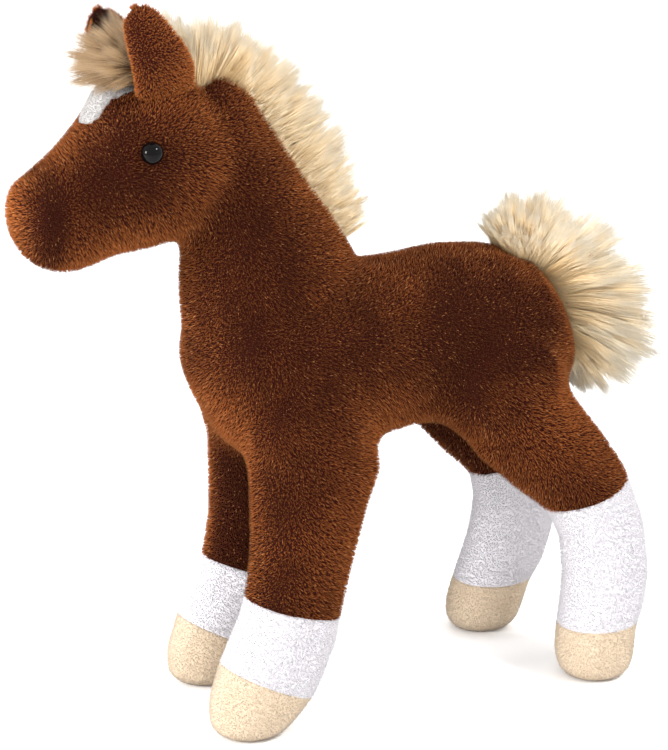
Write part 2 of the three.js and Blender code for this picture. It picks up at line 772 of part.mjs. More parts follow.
const finishes = {
  chestnut: { color: 0x6b2c12, roughness: 0.95, metalness: 0 },
  chestnutDark: { color: 0x54200f, roughness: 0.95, metalness: 0 },
  flaxen: { color: 0xdcc7a0, roughness: 0.9, metalness: 0 },
  white: { color: 0xf1eef2, roughness: 0.95, metalness: 0 },
  hoofCream: { color: 0xe9d9b8, roughness: 0.95, metalness: 0 },
  wadding: { color: 0xf4f4f0, roughness: 1, metalness: 0 },
  eyeBlack: { color: 0x0b0808, roughness: 0.08, metalness: 0 },
  washerPlastic: { color: 0xe8e8e4, roughness: 0.5, metalness: 0 },
};

const foal = new THREE.Group();
foal.position.x = -MIDDLE_X;

function piece(name, form, finish) {
  const geometry = form.isBufferGeometry ? form : geometryOf(form);
  const mesh = new THREE.Mesh(geometry, new THREE.MeshStandardMaterial(finishes[finish]));
  mesh.name = name;
  foal.add(mesh);
}

piece("torso_skin", torsoSkin, "chestnut");
piece("torso_filling", torsoFilling, "wadding");
piece("neck_skin", neckSkin, "chestnut");
piece("neck_filling", neckFilling, "wadding");
piece("head_skin", headSkin, "chestnut");
piece("head_filling", headFilling, "wadding");
piece("blaze", blaze, "white");
piece("forelock", forelock, "flaxen");
piece("mane", mane, "flaxen");
piece("tail", tail, "flaxen");
for (const [name, side] of Object.entries(bothSides)) {
  piece(`eye_${name}`, seatEye(turned(eyeOutline(), SMALL_SIDES), side), "eyeBlack");
  piece(`eye_washer_${name}`, seatEye(washerRing(), side), "washerPlastic");
  piece(`ear_outer_${name}`, ears[name].outer, "chestnut");
  piece(`ear_lining_${name}`, ears[name].lining, "chestnutDark");
}
for (const [name, leg] of Object.entries(legs)) {
  piece(`leg_${name}_skin`, leg.upper, "chestnut");
  piece(`stocking_${name}`, leg.sock, "white");
  piece(`hoof_${name}`, leg.hoof, "hoofCream");
  piece(`leg_${name}_filling`, leg.filling, "wadding");
}

export default foal;
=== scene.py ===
# A standing plush foal: stuffed covers of dense chestnut pile, white stockings, cream hooves and a white
# blaze, with a long-pile mane, forelock and tail. Lengths are in metres. The nose points along -X, the
# foal's left side is -Y and the ground is z = 0.
import math
from itertools import product

import bpy
import numpy as np
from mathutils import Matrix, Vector
from mathutils.bvhtree import BVHTree


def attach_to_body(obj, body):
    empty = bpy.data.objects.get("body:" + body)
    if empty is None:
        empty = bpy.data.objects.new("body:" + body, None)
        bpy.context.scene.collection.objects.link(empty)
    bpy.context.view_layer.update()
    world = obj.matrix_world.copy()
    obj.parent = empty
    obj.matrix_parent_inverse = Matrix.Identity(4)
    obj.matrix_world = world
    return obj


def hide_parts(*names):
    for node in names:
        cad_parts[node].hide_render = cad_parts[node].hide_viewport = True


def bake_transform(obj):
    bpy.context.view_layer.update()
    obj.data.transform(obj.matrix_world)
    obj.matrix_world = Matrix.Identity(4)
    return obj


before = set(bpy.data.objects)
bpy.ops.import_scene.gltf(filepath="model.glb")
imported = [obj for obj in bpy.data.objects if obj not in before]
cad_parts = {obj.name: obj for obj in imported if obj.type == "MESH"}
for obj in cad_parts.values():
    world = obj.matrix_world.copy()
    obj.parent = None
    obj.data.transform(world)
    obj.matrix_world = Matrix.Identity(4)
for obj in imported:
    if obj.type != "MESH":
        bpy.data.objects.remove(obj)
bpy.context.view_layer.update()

rng = np.random.default_rng(20)

LEGS = ("front_left", "front_right", "hind_left", "hind_right")
SIDES = {"left": -1, "right": 1}

# Height of the laid pile over its backing
BODY_PILE = 0.0026
MUZZLE_PILE = 0.0024
BLAZE_PILE = 0.0013
SOCK_PILE = 0.0014
HOOF_PILE = 0.0009
EAR_PILE = 0.0018
LINING_PILE = 0.0012
MUZZLE_X = -0.128  # where the muzzle's pile starts, and over what length it becomes the body's
MUZZLE_BLEND = 0.015
MUZZLE_LEAST_Z = 0.19
PILE_DEPTH_SHARE = 0.82  # of its height that the pile lies inside the solid form
ROOT_DEPTH = 0.0003  # of the pile's roots in the cover
# Most strands in a piece: one of pile has 4 triangles, one of long hair 10, and a piece under 200,000
STRANDS_A_PIECE = 49000
HAIRS_A_PIECE = 19500
# Short pile: strands a square millimetre, their lean and its spread in degrees, their width, and how much
# their length varies from clump to clump
PILES = {
    "chestnut": (2.28, 7, 5, 0.00044, 0.12),
    "ear": (3.0, 12, 8, 0.00042, 0.12),
    "white": (2.9, 14, 9, 0.00050, 0.12),
    "blaze": (3.0, 14, 8, 0.00044, 0.15),
    "hoof": (2.7, 22, 12, 0.00052, 0.15),
    "lining": (3.0, 18, 12, 0.00040, 0.30),
}
CLUMP_SIZE = 0.0030
# Long hair: strands, locks, how far a lock's tips draw together, and half a strand's width
MANE_HAIR = (26500, 850, 0.7, 0.00012)
TAIL_HAIR = (32000, 560, 0.75, 0.00013)
FORELOCK_HAIR = (8000, 210, 0.65, 0.00012)

# Planes where one cover meets the next: a point (x, z) and the slope of the seam in degrees
SOCK_SEAMS = {
    "front_left": (-0.0388, 0.0516, -18),
    "front_right": (-0.0352, 0.0516, -18),
    "hind_left": (0.0984, 0.0822, 17),
    "hind_right": (0.0908, 0.0822, 17),
}
HOOF_SEAMS = {
    "front_left": (-0.0526, 0.0226, -26),
    "front_right": (-0.0476, 0.0226, -26),
    "hind_left": (0.1040, 0.0240, 0),
    "hind_right": (0.0883, 0.0240, 0),
}
BELLY_SEAM_Z = {"front": 0.1060, "hind": 0.1110}  # where a leg's cover leaves the barrel's
LEGS_PART_X = 0.020  # between the front and the hind legs
SOCKS_TOP_Z = 0.11  # above every seam of a stocking
SEAM_REACH = 0.01  # how far from a seam's plane the faces lie that it may cut
CHEST_Z = 0.13  # below the neck's seams

# The neck bends between two planes square to this direction
NECK_WAY = Vector((-0.8, 0, 0.6))
THROAT = Vector((-0.074, 0, 0.205))
NECK_BEND = 0.028
NECK_BEND_END = THROAT
TORSO_SEAM = THROAT - (NECK_BEND + 0.002) * NECK_WAY

# The blaze, a panel on the forehead; its outline is half of it, (aside, up) in the panel's own plane
BLAZE_MIDDLE = Vector((-0.1107, 0, 0.267))
BLAZE_UP = Vector((math.cos(math.radians(54)), 0, math.sin(math.radians(54))))
BLAZE_OUT = Vector((-BLAZE_UP.z, 0, BLAZE_UP.x))
BLAZE_REACH = 0.03  # the whole panel lies this near its middle
BLAZE_DEPTH = 0.012  # and this near its plane
BLAZE_SLACK = 0.00005  # how far past its outline a place still counts as inside
BLAZE_HALF = [
    (0.0, 0.0200), (0.0050, 0.0190), (0.0074, 0.0150), (0.0080, 0.0100), (0.0082, 0.0050),
    (0.0080, 0.0), (0.0077, -0.0050), (0.0054, -0.0090), (0.0, -0.0104),
]

# The stuffed form: how its creases are rounded, its mesh sizes, and how hard and how far the stuffing
# blows it up
CREASE_ROUND = {"body": 0.0045, "head": 0.0014}
FORM_VOXEL = 0.0022
COVER_VOXEL = 0.0041
PRESSURE = 3.0
MOST_SWELL = 0.0015
# Small hollows pressed or sewn into it, and rises, of negative depth, at the poll and the forehead: place,
# radius and depth on the left side
DENTS = (
    ((0.0131, -0.036, 0.1675), 0.011, 0.0022),
    ((-0.0975, -0.0275, 0.2505), 0.008, 0.0010),
    ((-0.0700, 0, 0.2740), 0.015, -0.0022),
    ((-0.1095, 0, 0.2745), 0.011, -0.0032),
)
# Painted light and shade on the chestnut pile: lighter on the muzzle, jaw, forehead, chest, belly, thigh and
# foreleg, darker on the hip, shoulder, neck and cheek; as a place on the left side, its radius and the
# change
PAINTED_LIGHT_AND_SHADE = (
    ((-0.1440, 0, 0.2300), 0.017, 0.46),
    ((-0.1150, -0.016, 0.2080), 0.013, 0.45),
    ((-0.0830, -0.018, 0.2640), 0.012, 0.35),
    ((-0.0950, -0.024, 0.2130), 0.012, 0.30),
    ((0.0520, -0.035, 0.1620), 0.030, -0.55),
    ((-0.0300, -0.032, 0.1650), 0.032, -0.26),
    ((-0.0560, -0.024, 0.2150), 0.020, -0.15),
    ((-0.1000, -0.025, 0.2400), 0.016, -0.15),
    ((0.0800, -0.040, 0.1150), 0.024, 0.45),
    ((0.0050, -0.030, 0.1220), 0.018, 0.40),
    ((-0.0650, -0.015, 0.1350), 0.018, 0.30),
    ((-0.0350, -0.040, 0.0750), 0.024, 0.20),
)
# Painted shade on the legs' inner sides, low under the body
INNER_LEG_PAINTED_SHADE = -0.7
EAR_TONE = 0.45
PARTING_X = -0.1345  # where the muzzle's pile parts, some forwards and some backwards
PARTING_HALF_WIDTH = 0.0048
# Painted shade along the parting, where the standing pile shows its dark depth
PARTING_PAINTED_SHADE = -0.5
MOTTLE = ((0.4, 0.024, 10), (0.4, 0.011, 11), (0.2, 0.004, 12))  # noise in the tone: share, size and seed
SHADES = (0.01, 0.88)  # of all strands but the flecks
# Strands at this shade are light flecks: painted glints in the pile
FLECK_SHADE = 0.97

EYE_RADIUS = 0.0045
EYE_DOME = 0.0040
EYE_EDGE = 0.0008  # how far the rim turns in below the dome
EYE_SINK = 0.0016  # how deep it sits in the pile
EYE_TILTS = (math.radians(6), math.radians(17))  # forwards and up
SHANK_RADIUS = 0.0015
SHANK_LENGTH = 0.0100

EAR_ROOTS = {"left": (-0.0785, 0.0160, 0.2625), "right": (-0.0838, 0.0165, 0.2530)}
EAR_LEANS = {"left": math.radians(27), "right": math.radians(20)}
EAR_LENGTH = 0.0487
EAR_HALF_WIDTH = 0.0148
EAR_CUP = 0.0080  # depth of the hollow
EAR_CURL = math.radians(100)  # from the middle of the back round to each edge
EAR_FACING = math.radians(85)  # the back's way, from straight behind towards the side
EAR_SPLAY = math.radians(5)
EAR_TUCK = 0.0125  # how far the root is drawn in under the head's cover
EAR_RISE_SHARES = (0, 0.3, 0.545, 0.79, 0.89, 0.965, 1.0)
EAR_WIDTH_SHARES = (0.9, 0.985, 0.86, 0.69, 0.60, 0.42, 0.2)
EAR_CLOTH = 0.001
LINING_INSET = 0.0026  # of the lining inside the outer cloth
LINING_REACH = 0.975  # of the ear's length
RIM_STRANDS = 4000

# The crest from the poll to the withers as (x, z), and the least length of the mane along it
CREST = (
    (-0.0795, 0.2780), (-0.072, 0.2785), (-0.060, 0.2760), (-0.046, 0.2676),
    (-0.0352, 0.2524), (-0.022, 0.2304), (-0.013, 0.2169), (-0.003, 0.2005),
)
MANE_SHARES = (0, 0.10, 0.22, 0.32, 1.0)
MANE_LEAST = (0.0290, 0.0285, 0.0220, 0.0, 0.0)
MANE_HALF_WIDTH = 0.0065
CREST_CLEAR = 0.006  # how far over the crest roots start before they are laid on the covers

# The tail's hair grows from a strip round the rump: angles in degrees about this point, and the way that
# the hair heads there
RUMP_MIDDLE = (0.060, 0.150)
RUMP_ANGLES = (-26, -14, 0, 16, 32, 48, 62, 74)
RUMP_HEADINGS = (-84, -66, -38, -12, 22, 62, 100, 136)
RUMP_HALF_WIDTH = 0.010
RUMP_REACH = 0.08  # farther than the rump's surface is from its middle
TAIL_LEAST = 0.009  # shorter strands are left out

FORELOCK_ROOT = np.array([-0.0880, 0, 0.2765])
FORELOCK_LEAST = 0.024
HAIR_ROOT_DEPTH = 0.001

STRAND_COLOURS = ("Dark Root", "Light Root", "Dark Tip", "Light Tip", "Fleck", "End")
# Pile and hair: colours in that order, the strand's other values, roughness, sheen and the sheen's tint.
# Where no share of the end is given, the end has no colour of its own.
STRAND_FINISHES = {
    # Chestnut: the near-black roots are painted shade deep in the pile; the golden tips and ends are the
    # fibre's colour brightened by painted light along the lit rims
    "chestnut_pile": (
        ((0.021, 0.0031, 0.0013), (0.070, 0.0100, 0.0030), (0.082, 0.0130, 0.004), (0.58, 0.170, 0.042),
         (0.62, 0.31, 0.13), (0.70, 0.31, 0.09)),
        {"Rise Start": 0.10, "Rise End": 0.95, "End Start": 0.66, "End Share": 0.5, "Along Share": 0.6},
        0.8, 0.03, (1.0, 0.40, 0.12),
    ),
    # The lining is the outer's reddish brown painted far darker: painted shade inside the ear's hollow
    "lining_pile": (
        ((0.008, 0.0014, 0.0006), (0.025, 0.0045, 0.002), (0.07, 0.014, 0.005), (0.26, 0.075, 0.024),
         (0.3, 0.14, 0.06)),
        {"Rise Start": 0.3}, 0.6, 0.1, (0.9, 0.4, 0.2),
    ),
    "white_pile": (
        ((0.62, 0.60, 0.625), (0.64, 0.62, 0.645), (0.595, 0.575, 0.60), (0.62, 0.60, 0.625),
         (0.64, 0.62, 0.64)),
        {"Rise Start": 0.1}, 0.8, 0.05, (1.0, 1.0, 1.0),
    ),
    "blaze_pile": (
        ((0.40, 0.385, 0.375), (0.45, 0.435, 0.425), (0.42, 0.405, 0.395), (0.47, 0.455, 0.445),
         (0.50, 0.485, 0.475)),
        {"Rise Start": 0.1}, 0.8, 0.05, (1.0, 1.0, 1.0),
    ),
    "hoof_pile": (
        ((0.46, 0.37, 0.27), (0.49, 0.41, 0.32), (0.45, 0.37, 0.285), (0.49, 0.42, 0.34),
         (0.53, 0.47, 0.39)),
        {"Rise Start": 0.1}, 0.8, 0.05, (1.0, 0.95, 0.85),
    ),
    "flaxen_hair": (
        ((0.82, 0.56, 0.26), (0.93, 0.74, 0.45), (0.72, 0.54, 0.32), (0.88, 0.77, 0.58), (0.93, 0.86, 0.72),
         (0.42, 0.40, 0.36)),
        {"Rise Start": 0.15, "Rise End": 0.85, "End Start": 0.66, "End Share": 0.7},
        0.5, 0.05, (1.0, 0.95, 0.85),
    ),
    # The mane's flaxen hair painted much darker: painted shade from the ears and deep in the locks
    "forelock_hair": (
        ((0.10, 0.040, 0.012), (0.27, 0.13, 0.045), (0.11, 0.062, 0.032), (0.50, 0.33, 0.17),
         (0.85, 0.74, 0.55), (0.36, 0.27, 0.18)),
        {"Rise Start": 0.1, "Rise End": 0.8, "End Start": 0.7, "End Share": 0.5},
        0.5, 0.1, (1.0, 0.95, 0.85),
    ),
}
# Knitted backing under the pile: its dark and its light colour. The chestnut's and the lining's are near
# black: painted shade down among the pile's roots and in the ear's hollow.
BACKING_FINISHES = {
    "chestnut_cover": ((0.021, 0.0035, 0.0014), (0.042, 0.0068, 0.0024)),
    "lining_cover": ((0.008, 0.0016, 0.0008), (0.02, 0.004, 0.002)),
    "blaze_cover": ((0.40, 0.385, 0.375), (0.45, 0.435, 0.425)),
    "white_cover": ((0.66, 0.64, 0.665), (0.70, 0.68, 0.705)),
    "hoof_cover": ((0.52, 0.40, 0.28), (0.58, 0.47, 0.35)),
}
# Moulded plastic: scale of its unevenness, dark and light colour, roughness and specular level
PLASTIC_FINISHES = {
    "eye_black": (300, (0.0010, 0.0008, 0.0008), (0.003, 0.002, 0.002), 0.04, 0.11),
    "washer_plastic": (900, (0.72, 0.72, 0.70), (0.82, 0.82, 0.80), 0.5, 0.5),
}

# The camera, where it looks, and the lamps round the foal: place, size and power
AZIMUTH, ELEVATION, DISTANCE = math.radians(-25), math.radians(17), 1.2
TARGET = Vector((-0.00665, 0, 0.1408))
LAMPS = {
    "key": ((0.62, -0.78, 1.20), 0.20, 12),
    "fill": ((-1.35, -0.20, 0.60), 0.4, 21),
    "back": ((0.4, 1.1, 1.1), 0.9, 5),
}


def value_noise(points, size, seed):
    """Smooth noise from 0 to 1 at each point, in blobs of about the given size."""
    cell = points / size + seed * 17.31
    base = np.floor(cell).astype(np.int64)
    part = cell - base
    ease = part * part * (3 - 2 * part)
    total = np.zeros(len(points))
    for corner in product((0, 1), repeat=3):
        at = base + np.array(corner)
        lattice = (at[:, 0] * 73856093) ^ (at[:, 1] * 19349663) ^ (at[:, 2] * 83492791)
        value = np.sin((lattice & 0xFFFFFF) * 12.9898) * 43758.5453 % 1
        total += value * np.prod(np.where(corner, ease, 1 - ease), axis=1)
    return total


def unit(vectors):
    return vectors / np.maximum(np.linalg.norm(vectors, axis=-1, keepdims=True), 1e-9)


def smooth_step(value):
    clipped = np.clip(value, 0, 1)
    return clipped * clipped * (3 - 2 * clipped)


def activate(thing):
    """Leaves only this object selected and active."""
    if bpy.context.object and bpy.context.object.mode != "OBJECT":
        bpy.ops.object.mode_set(mode="OBJECT")
    bpy.ops.object.select_all(action="DESELECT")
    thing.select_set(True)
    bpy.context.view_layer.objects.active = thing


def spots_of(thing):
    spots = np.empty(len(thing.data.vertices) * 3, np.float32)
    thing.data.vertices.foreach_get("co", spots)
    return spots.reshape(-1, 3).astype(float)


def normals_of(thing):
    return np.array([n.vector for n in thing.data.vertex_normals], float)


def move_to(thing, spots):
    thing.data.vertices.foreach_set("co", spots.astype(np.float32).ravel())
    thing.data.update()


def edit(thing, step, **settings):
    """Runs an operator of edit mode on all of a mesh."""
    activate(thing)
    bpy.ops.object.mode_set(mode="EDIT")
    bpy.ops.mesh.select_all(action="SELECT")
    step(**settings)
    bpy.ops.object.mode_set(mode="OBJECT")


def modify(thing, kind, **settings):
    """Adds a modifier with these settings and applies it."""
    activate(thing)
    modifier = thing.modifiers.new(kind.lower(), kind)
    for key, value in settings.items():
        setattr(modifier, key, value)
    bpy.ops.object.modifier_apply(modifier=modifier.name)


def remesh(thing, size):
    activate(thing)
    thing.data.remesh_voxel_size = size
    thing.data.remesh_voxel_adaptivity = 0
    bpy.ops.object.voxel_remesh()


def joined_copies(nodes, name):
    """One new object from merged copies of these CAD nodes."""
    copies = []
    for node in nodes:
        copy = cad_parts[node].copy()
        copy.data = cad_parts[node].data.copy()
        copy.parent = None
        for key in list(copy.keys()):
            del copy[key]
        bpy.context.scene.collection.objects.link(copy)
        copies.append(copy)
    activate(copies[0])
    for copy in copies:
        copy.select_set(True)
    bpy.ops.object.join()
    thing = copies[0]
    thing.name = name
    thing.data.materials.clear()
    edit(thing, bpy.ops.mesh.remove_doubles, threshold=0.000005)
    return thing


def stuff(thing, pressure, cap):
    """Blows the cover up like a stuffed one. No point moves further than the cap."""
    before = spots_of(thing)
    activate(thing)
    cloth = thing.modifiers.new("stuffing", "CLOTH")
    cloth.settings.use_pressure = True
    cloth.settings.uniform_pressure_force = pressure
    cloth.settings.effector_weights.gravity = 0
    cloth.settings.quality = 5
    cloth.settings.mass = 0.3
    cloth.settings.tension_stiffness = 15
    cloth.settings.compression_stiffness = 15
    cloth.settings.bending_stiffness = 0.5
    cloth.collision_settings.use_collision = False
    cloth.point_cache.frame_start = 1
    cloth.point_cache.frame_end = 14
    for step in range(1, 15):
        bpy.context.scene.frame_set(step)
    bpy.ops.object.modifier_apply(modifier=cloth.name)
    bpy.context.scene.frame_set(1)
    shift = spots_of(thing) - before
    far = np.linalg.norm(shift, axis=1, keepdims=True)
    move_to(thing, before + shift * np.minimum(1, cap / np.maximum(far, 1e-9)))


def seam_plane(x, z, slope):
    """A point on a leg's seam and the direction square to it, upwards."""
    turn = math.radians(slope)
    return Vector((x, 0, z)), Vector((-math.sin(turn), 0, math.cos(turn)))


def above(points, at, way):
    """Signed distance of each point in front of a plane."""
    return (points - np.array(at)) @ np.array(way)


def of_leg(points, leg):
    """A mask of the points on this leg's quarter of the foal."""
    end, side = leg.split("_")
    fore = points[:, 0] < LEGS_PART_X
    return (fore if end == "front" else ~fore) & (points[:, 1] * SIDES[side] > 0)


def face_centres(thing):
    centres = np.empty(len(thing.data.polygons) * 3, np.float32)
    thing.data.polygons.foreach_get("center", centres)
    return centres.reshape(-1, 3).astype(float)


def choose_faces(thing, chosen):
    """Enters edit mode with these faces selected."""
    activate(thing)
    bpy.context.tool_settings.mesh_select_mode = (False, False, True)
    mesh = thing.data
    mesh.vertices.foreach_set("select", np.zeros(len(mesh.vertices), bool))
    mesh.edges.foreach_set("select", np.zeros(len(mesh.edges), bool))
    mesh.polygons.foreach_set("select", np.asarray(chosen, bool))
    bpy.ops.object.mode_set(mode="EDIT")


def cut_along(thing, at, way, near):
    """Cuts a line of edges where a plane crosses the chosen faces."""
    choose_faces(thing, near(face_centres(thing)))
    bpy.ops.mesh.bisect(plane_co=at, plane_no=way)
    bpy.ops.object.mode_set(mode="OBJECT")


def pile_height(points):
    """Height of the pile at each place."""
    height = np.full(len(points), BODY_PILE)
    muzzle = smooth_step((MUZZLE_X - points[:, 0]) / MUZZLE_BLEND) * (points[:, 2] > MUZZLE_LEAST_Z)
    height += muzzle * (MUZZLE_PILE - BODY_PILE)
    for leg in LEGS:
        mask = of_leg(points, leg)
        for seams, pile, blend in ((SOCK_SEAMS, SOCK_PILE, 0.004), (HOOF_SEAMS, HOOF_PILE, 0.003)):
            share = smooth_step(0.5 - above(points, *seam_plane(*seams[leg])) / blend) * mask
            height += share * (pile - height)
    height[in_blaze(points)] = BLAZE_PILE
    return height


def in_head(points):
    """1 in the head, 0 well down the neck."""
    return smooth_step(above(points, NECK_BEND_END, NECK_WAY) / 0.012)


def surface_of(thing):
    faces = [list(face.vertices) for face in thing.data.polygons]
    return BVHTree.FromPolygons(spots_of(thing).tolist(), faces)


def evened(thing, values, rounds):
    """Values at a mesh's points, each evened out with its neighbours' in turn."""
    edges = np.empty(len(thing.data.edges) * 2, np.int32)
    thing.data.edges.foreach_get("vertices", edges)
    edges = edges.reshape(-1, 2)
    count = np.bincount(edges.ravel(), minlength=len(values))
    for _ in range(rounds):
        near = np.bincount(edges[:, 0], values[edges[:, 1]], len(values))
        near += np.bincount(edges[:, 1], values[edges[:, 0]], len(values))
        values = (values + near / count) / 2
    return values


def swell(thing, by):
    """Moves a mesh's face along its normals, by a length or a function of place."""
    spots = spots_of(thing)
    move_to(thing, spots + normals_of(thing) * by(spots)[:, None])


def soften(thing, rounds):
    """Smooths a mesh, the head less than the body."""
    before = spots_of(thing)
    modify(thing, "SMOOTH", factor=0.5, iterations=rounds)
    share = 1 - 0.6 * in_head(before)
    move_to(thing, before + (spots_of(thing) - before) * share[:, None])


def regain(thing, solid):
    """Moves the face back out to the solid where smoothing drew it in."""
    spots, normals = spots_of(thing), normals_of(thing)
    near = np.array([solid.find_nearest(Vector(spot))[0] for spot in spots])
    shy = np.clip(((near - spots) * normals).sum(axis=1), 0, 0.005)
    move_to(thing, spots + normals * evened(thing, shy, 10)[:, None])


def dent_depth(points):
    """How deep each place lies in the hollows."""
    depth = np.zeros(len(points))
    for (x, y, z), radius, deep in DENTS:
        for side in (-1, 1):
            away = np.linalg.norm(points - (x, -side * y, z), axis=1)
            depth += deep * np.exp(-((away / radius) ** 2))
    return depth


def crease_round(points):
    return CREASE_ROUND["body"] + (CREASE_ROUND["head"] - CREASE_ROUND["body"]) * in_head(points)


def stuffed_hide():
    """The whole stuffed form without ears and hair, with its face at the roots of the pile."""
    nodes = [f"{name}_{part}" for name in ("torso", "neck", "head") for part in ("skin", "filling")]
    nodes.append("blaze")
    for leg in LEGS:
        nodes += [f"leg_{leg}_skin", f"leg_{leg}_filling", f"stocking_{leg}", f"hoof_{leg}"]
    hide = joined_copies(nodes, "hide")
    remesh(hide, FORM_VOXEL)
    solid = surface_of(hide)
    swell(hide, crease_round)
    remesh(hide, FORM_VOXEL)
    swell(hide, lambda p: -crease_round(p))
    soften(hide, 8)
    remesh(hide, COVER_VOXEL)
    soften(hide, 2)
    stuff(hide, PRESSURE, MOST_SWELL)
    modify(hide, "SUBSURF", levels=1, render_levels=1)
    regain(hide, solid)
    swell(hide, lambda p: -PILE_DEPTH_SHARE * pile_height(p) - dent_depth(p))
    return hide


def blaze_outline():
    """The blaze's outline as (aside, up), once round."""
    mirrored = [(-aside, up) for aside, up in reversed(BLAZE_HALF[1:-1])]
    return BLAZE_HALF + mirrored


def in_blaze(points):
    """A mask of the points inside the blaze's outline."""
    aside = points[:, 1]
    up = (points - np.array(BLAZE_MIDDLE)) @ np.array(BLAZE_UP)
    outline = blaze_outline()
    inside = above(points, BLAZE_MIDDLE, BLAZE_OUT) > -BLAZE_DEPTH
    for (x1, y1), (x2, y2) in zip(outline, outline[1:] + outline[:1]):
        past = (x2 - x1) * (up - y1) - (y2 - y1) * (aside - x1)
        inside &= past < BLAZE_SLACK * math.hypot(x2 - x1, y2 - y1)
    return inside


def cut_seams(hide):
    """Lays edges along every seam, so that the covers can be parted there."""
    for leg in LEGS:
        end = leg.split("_")[0]
        for seam in (SOCK_SEAMS[leg], HOOF_SEAMS[leg]):
            at, way = seam_plane(*seam)
            cut_along(
                hide, at, way,
                lambda p: of_leg(p, leg) & (abs(above(p, at, way)) < SEAM_REACH) & (p[:, 2] < SOCKS_TOP_Z),
            )
        at = Vector((0, 0, BELLY_SEAM_Z[end]))
        cut_along(hide, at, (0, 0, 1), lambda p: of_leg(p, leg) & (abs(p[:, 2] - at.z) < SEAM_REACH))
    for at in (NECK_BEND_END, TORSO_SEAM):
        cut_along(
            hide, at, NECK_WAY,
            lambda p: (abs(above(p, at, NECK_WAY)) < SEAM_REACH) & (p[:, 2] > CHEST_Z),
        )
    outline = blaze_outline()
    for (x1, y1), (x2, y2) in zip(outline, outline[1:] + outline[:1]):
        at = BLAZE_MIDDLE + x1 * Vector((0, 1, 0)) + y1 * BLAZE_UP
        along = (x2 - x1) * Vector((0, 1, 0)) + (y2 - y1) * BLAZE_UP
        cut_along(
            hide, at, along.cross(BLAZE_OUT).normalized(),
            lambda p: (np.linalg.norm(p - np.array(BLAZE_MIDDLE), axis=1) < BLAZE_REACH)
            & (above(p, BLAZE_MIDDLE, BLAZE_OUT) > -BLAZE_DEPTH),
        )


def part_covers(hide):
    """Parts the hide at its seams. Returns the covers by name."""
    names = ["torso", "neck", "head", "blaze"]
    centres = face_centres(hide)
    cover = np.zeros(len(centres), int)
    cover[above(centres, TORSO_SEAM, NECK_WAY) > 0] = names.index("neck")
    cover[above(centres, NECK_BEND_END, NECK_WAY) > 0] = names.index("head")
    cover[in_blaze(centres)] = names.index("blaze")
    for leg in LEGS:
        mine = of_leg(centres, leg) & (centres[:, 2] < BELLY_SEAM_Z[leg.split("_")[0]])
        sock = mine & (above(centres, *seam_plane(*SOCK_SEAMS[leg])) < 0)
        hoof = mine & (above(centres, *seam_plane(*HOOF_SEAMS[leg])) < 0)
        for name, mask in ((f"leg_{leg}", mine), (f"stocking_{leg}", sock), (f"hoof_{leg}", hoof)):
            names.append(name)
            cover[mask] = names.index(name)
    for name in names:
        hide.data.materials.append(bpy.data.materials.new(f"part_{name}"))
    hide.data.polygons.foreach_set("material_index", cover.astype(np.int32))
    activate(hide)
    bpy.ops.object.mode_set(mode="EDIT")
    bpy.ops.mesh.separate(type="MATERIAL")
    bpy.ops.object.mode_set(mode="OBJECT")
    covers = {}
    for thing in list(bpy.context.selected_objects):
        used = thing.data.materials[thing.data.polygons[0].material_index].name
        name = used.removeprefix("part_")
        thing.name = thing.data.name = f"{name}_cover"
        thing.data.materials.clear()
        covers[name] = thing
    for material in [m for m in bpy.data.materials if m.name.startswith("part_")]:
        bpy.data.materials.remove(material)
    return covers


def close_cover(thing):
    """Closes the open ends inside, where the cover meets its neighbours."""
    edit(thing, bpy.ops.mesh.fill_holes, sides=0)
    bpy.ops.object.shade_smooth()


def scatter(thing, count):
    """Evenly spread places on the object's faces, with the surface's normal at each."""
    mesh = thing.data
    mesh.calc_loop_triangles()
    corners = np.empty(len(mesh.loop_triangles) * 3, np.int32)
    mesh.loop_triangles.foreach_get("vertices", corners)
    corners = corners.reshape(-1, 3)
    spots, normals = spots_of(thing), normals_of(thing)
    a, b, c = (spots[corners[:, k]] for k in range(3))
    area = np.linalg.norm(np.cross(b - a, c - a), axis=1) / 2
    reach = np.cumsum(area)
    pick = np.searchsorted(reach, (np.arange(count) + rng.random(count)) / count * reach[-1])
    pick = np.minimum(pick, len(area) - 1)
    u, v = rng.random(count), rng.random(count)
    over = u + v > 1
    u[over], v[over] = 1 - u[over], 1 - v[over]
    share = np.stack([1 - u - v, u, v], axis=1)[:, :, None]
    places = (spots[corners[pick]] * share).sum(axis=1)
    return places, unit((normals[corners[pick]] * share).sum(axis=1))


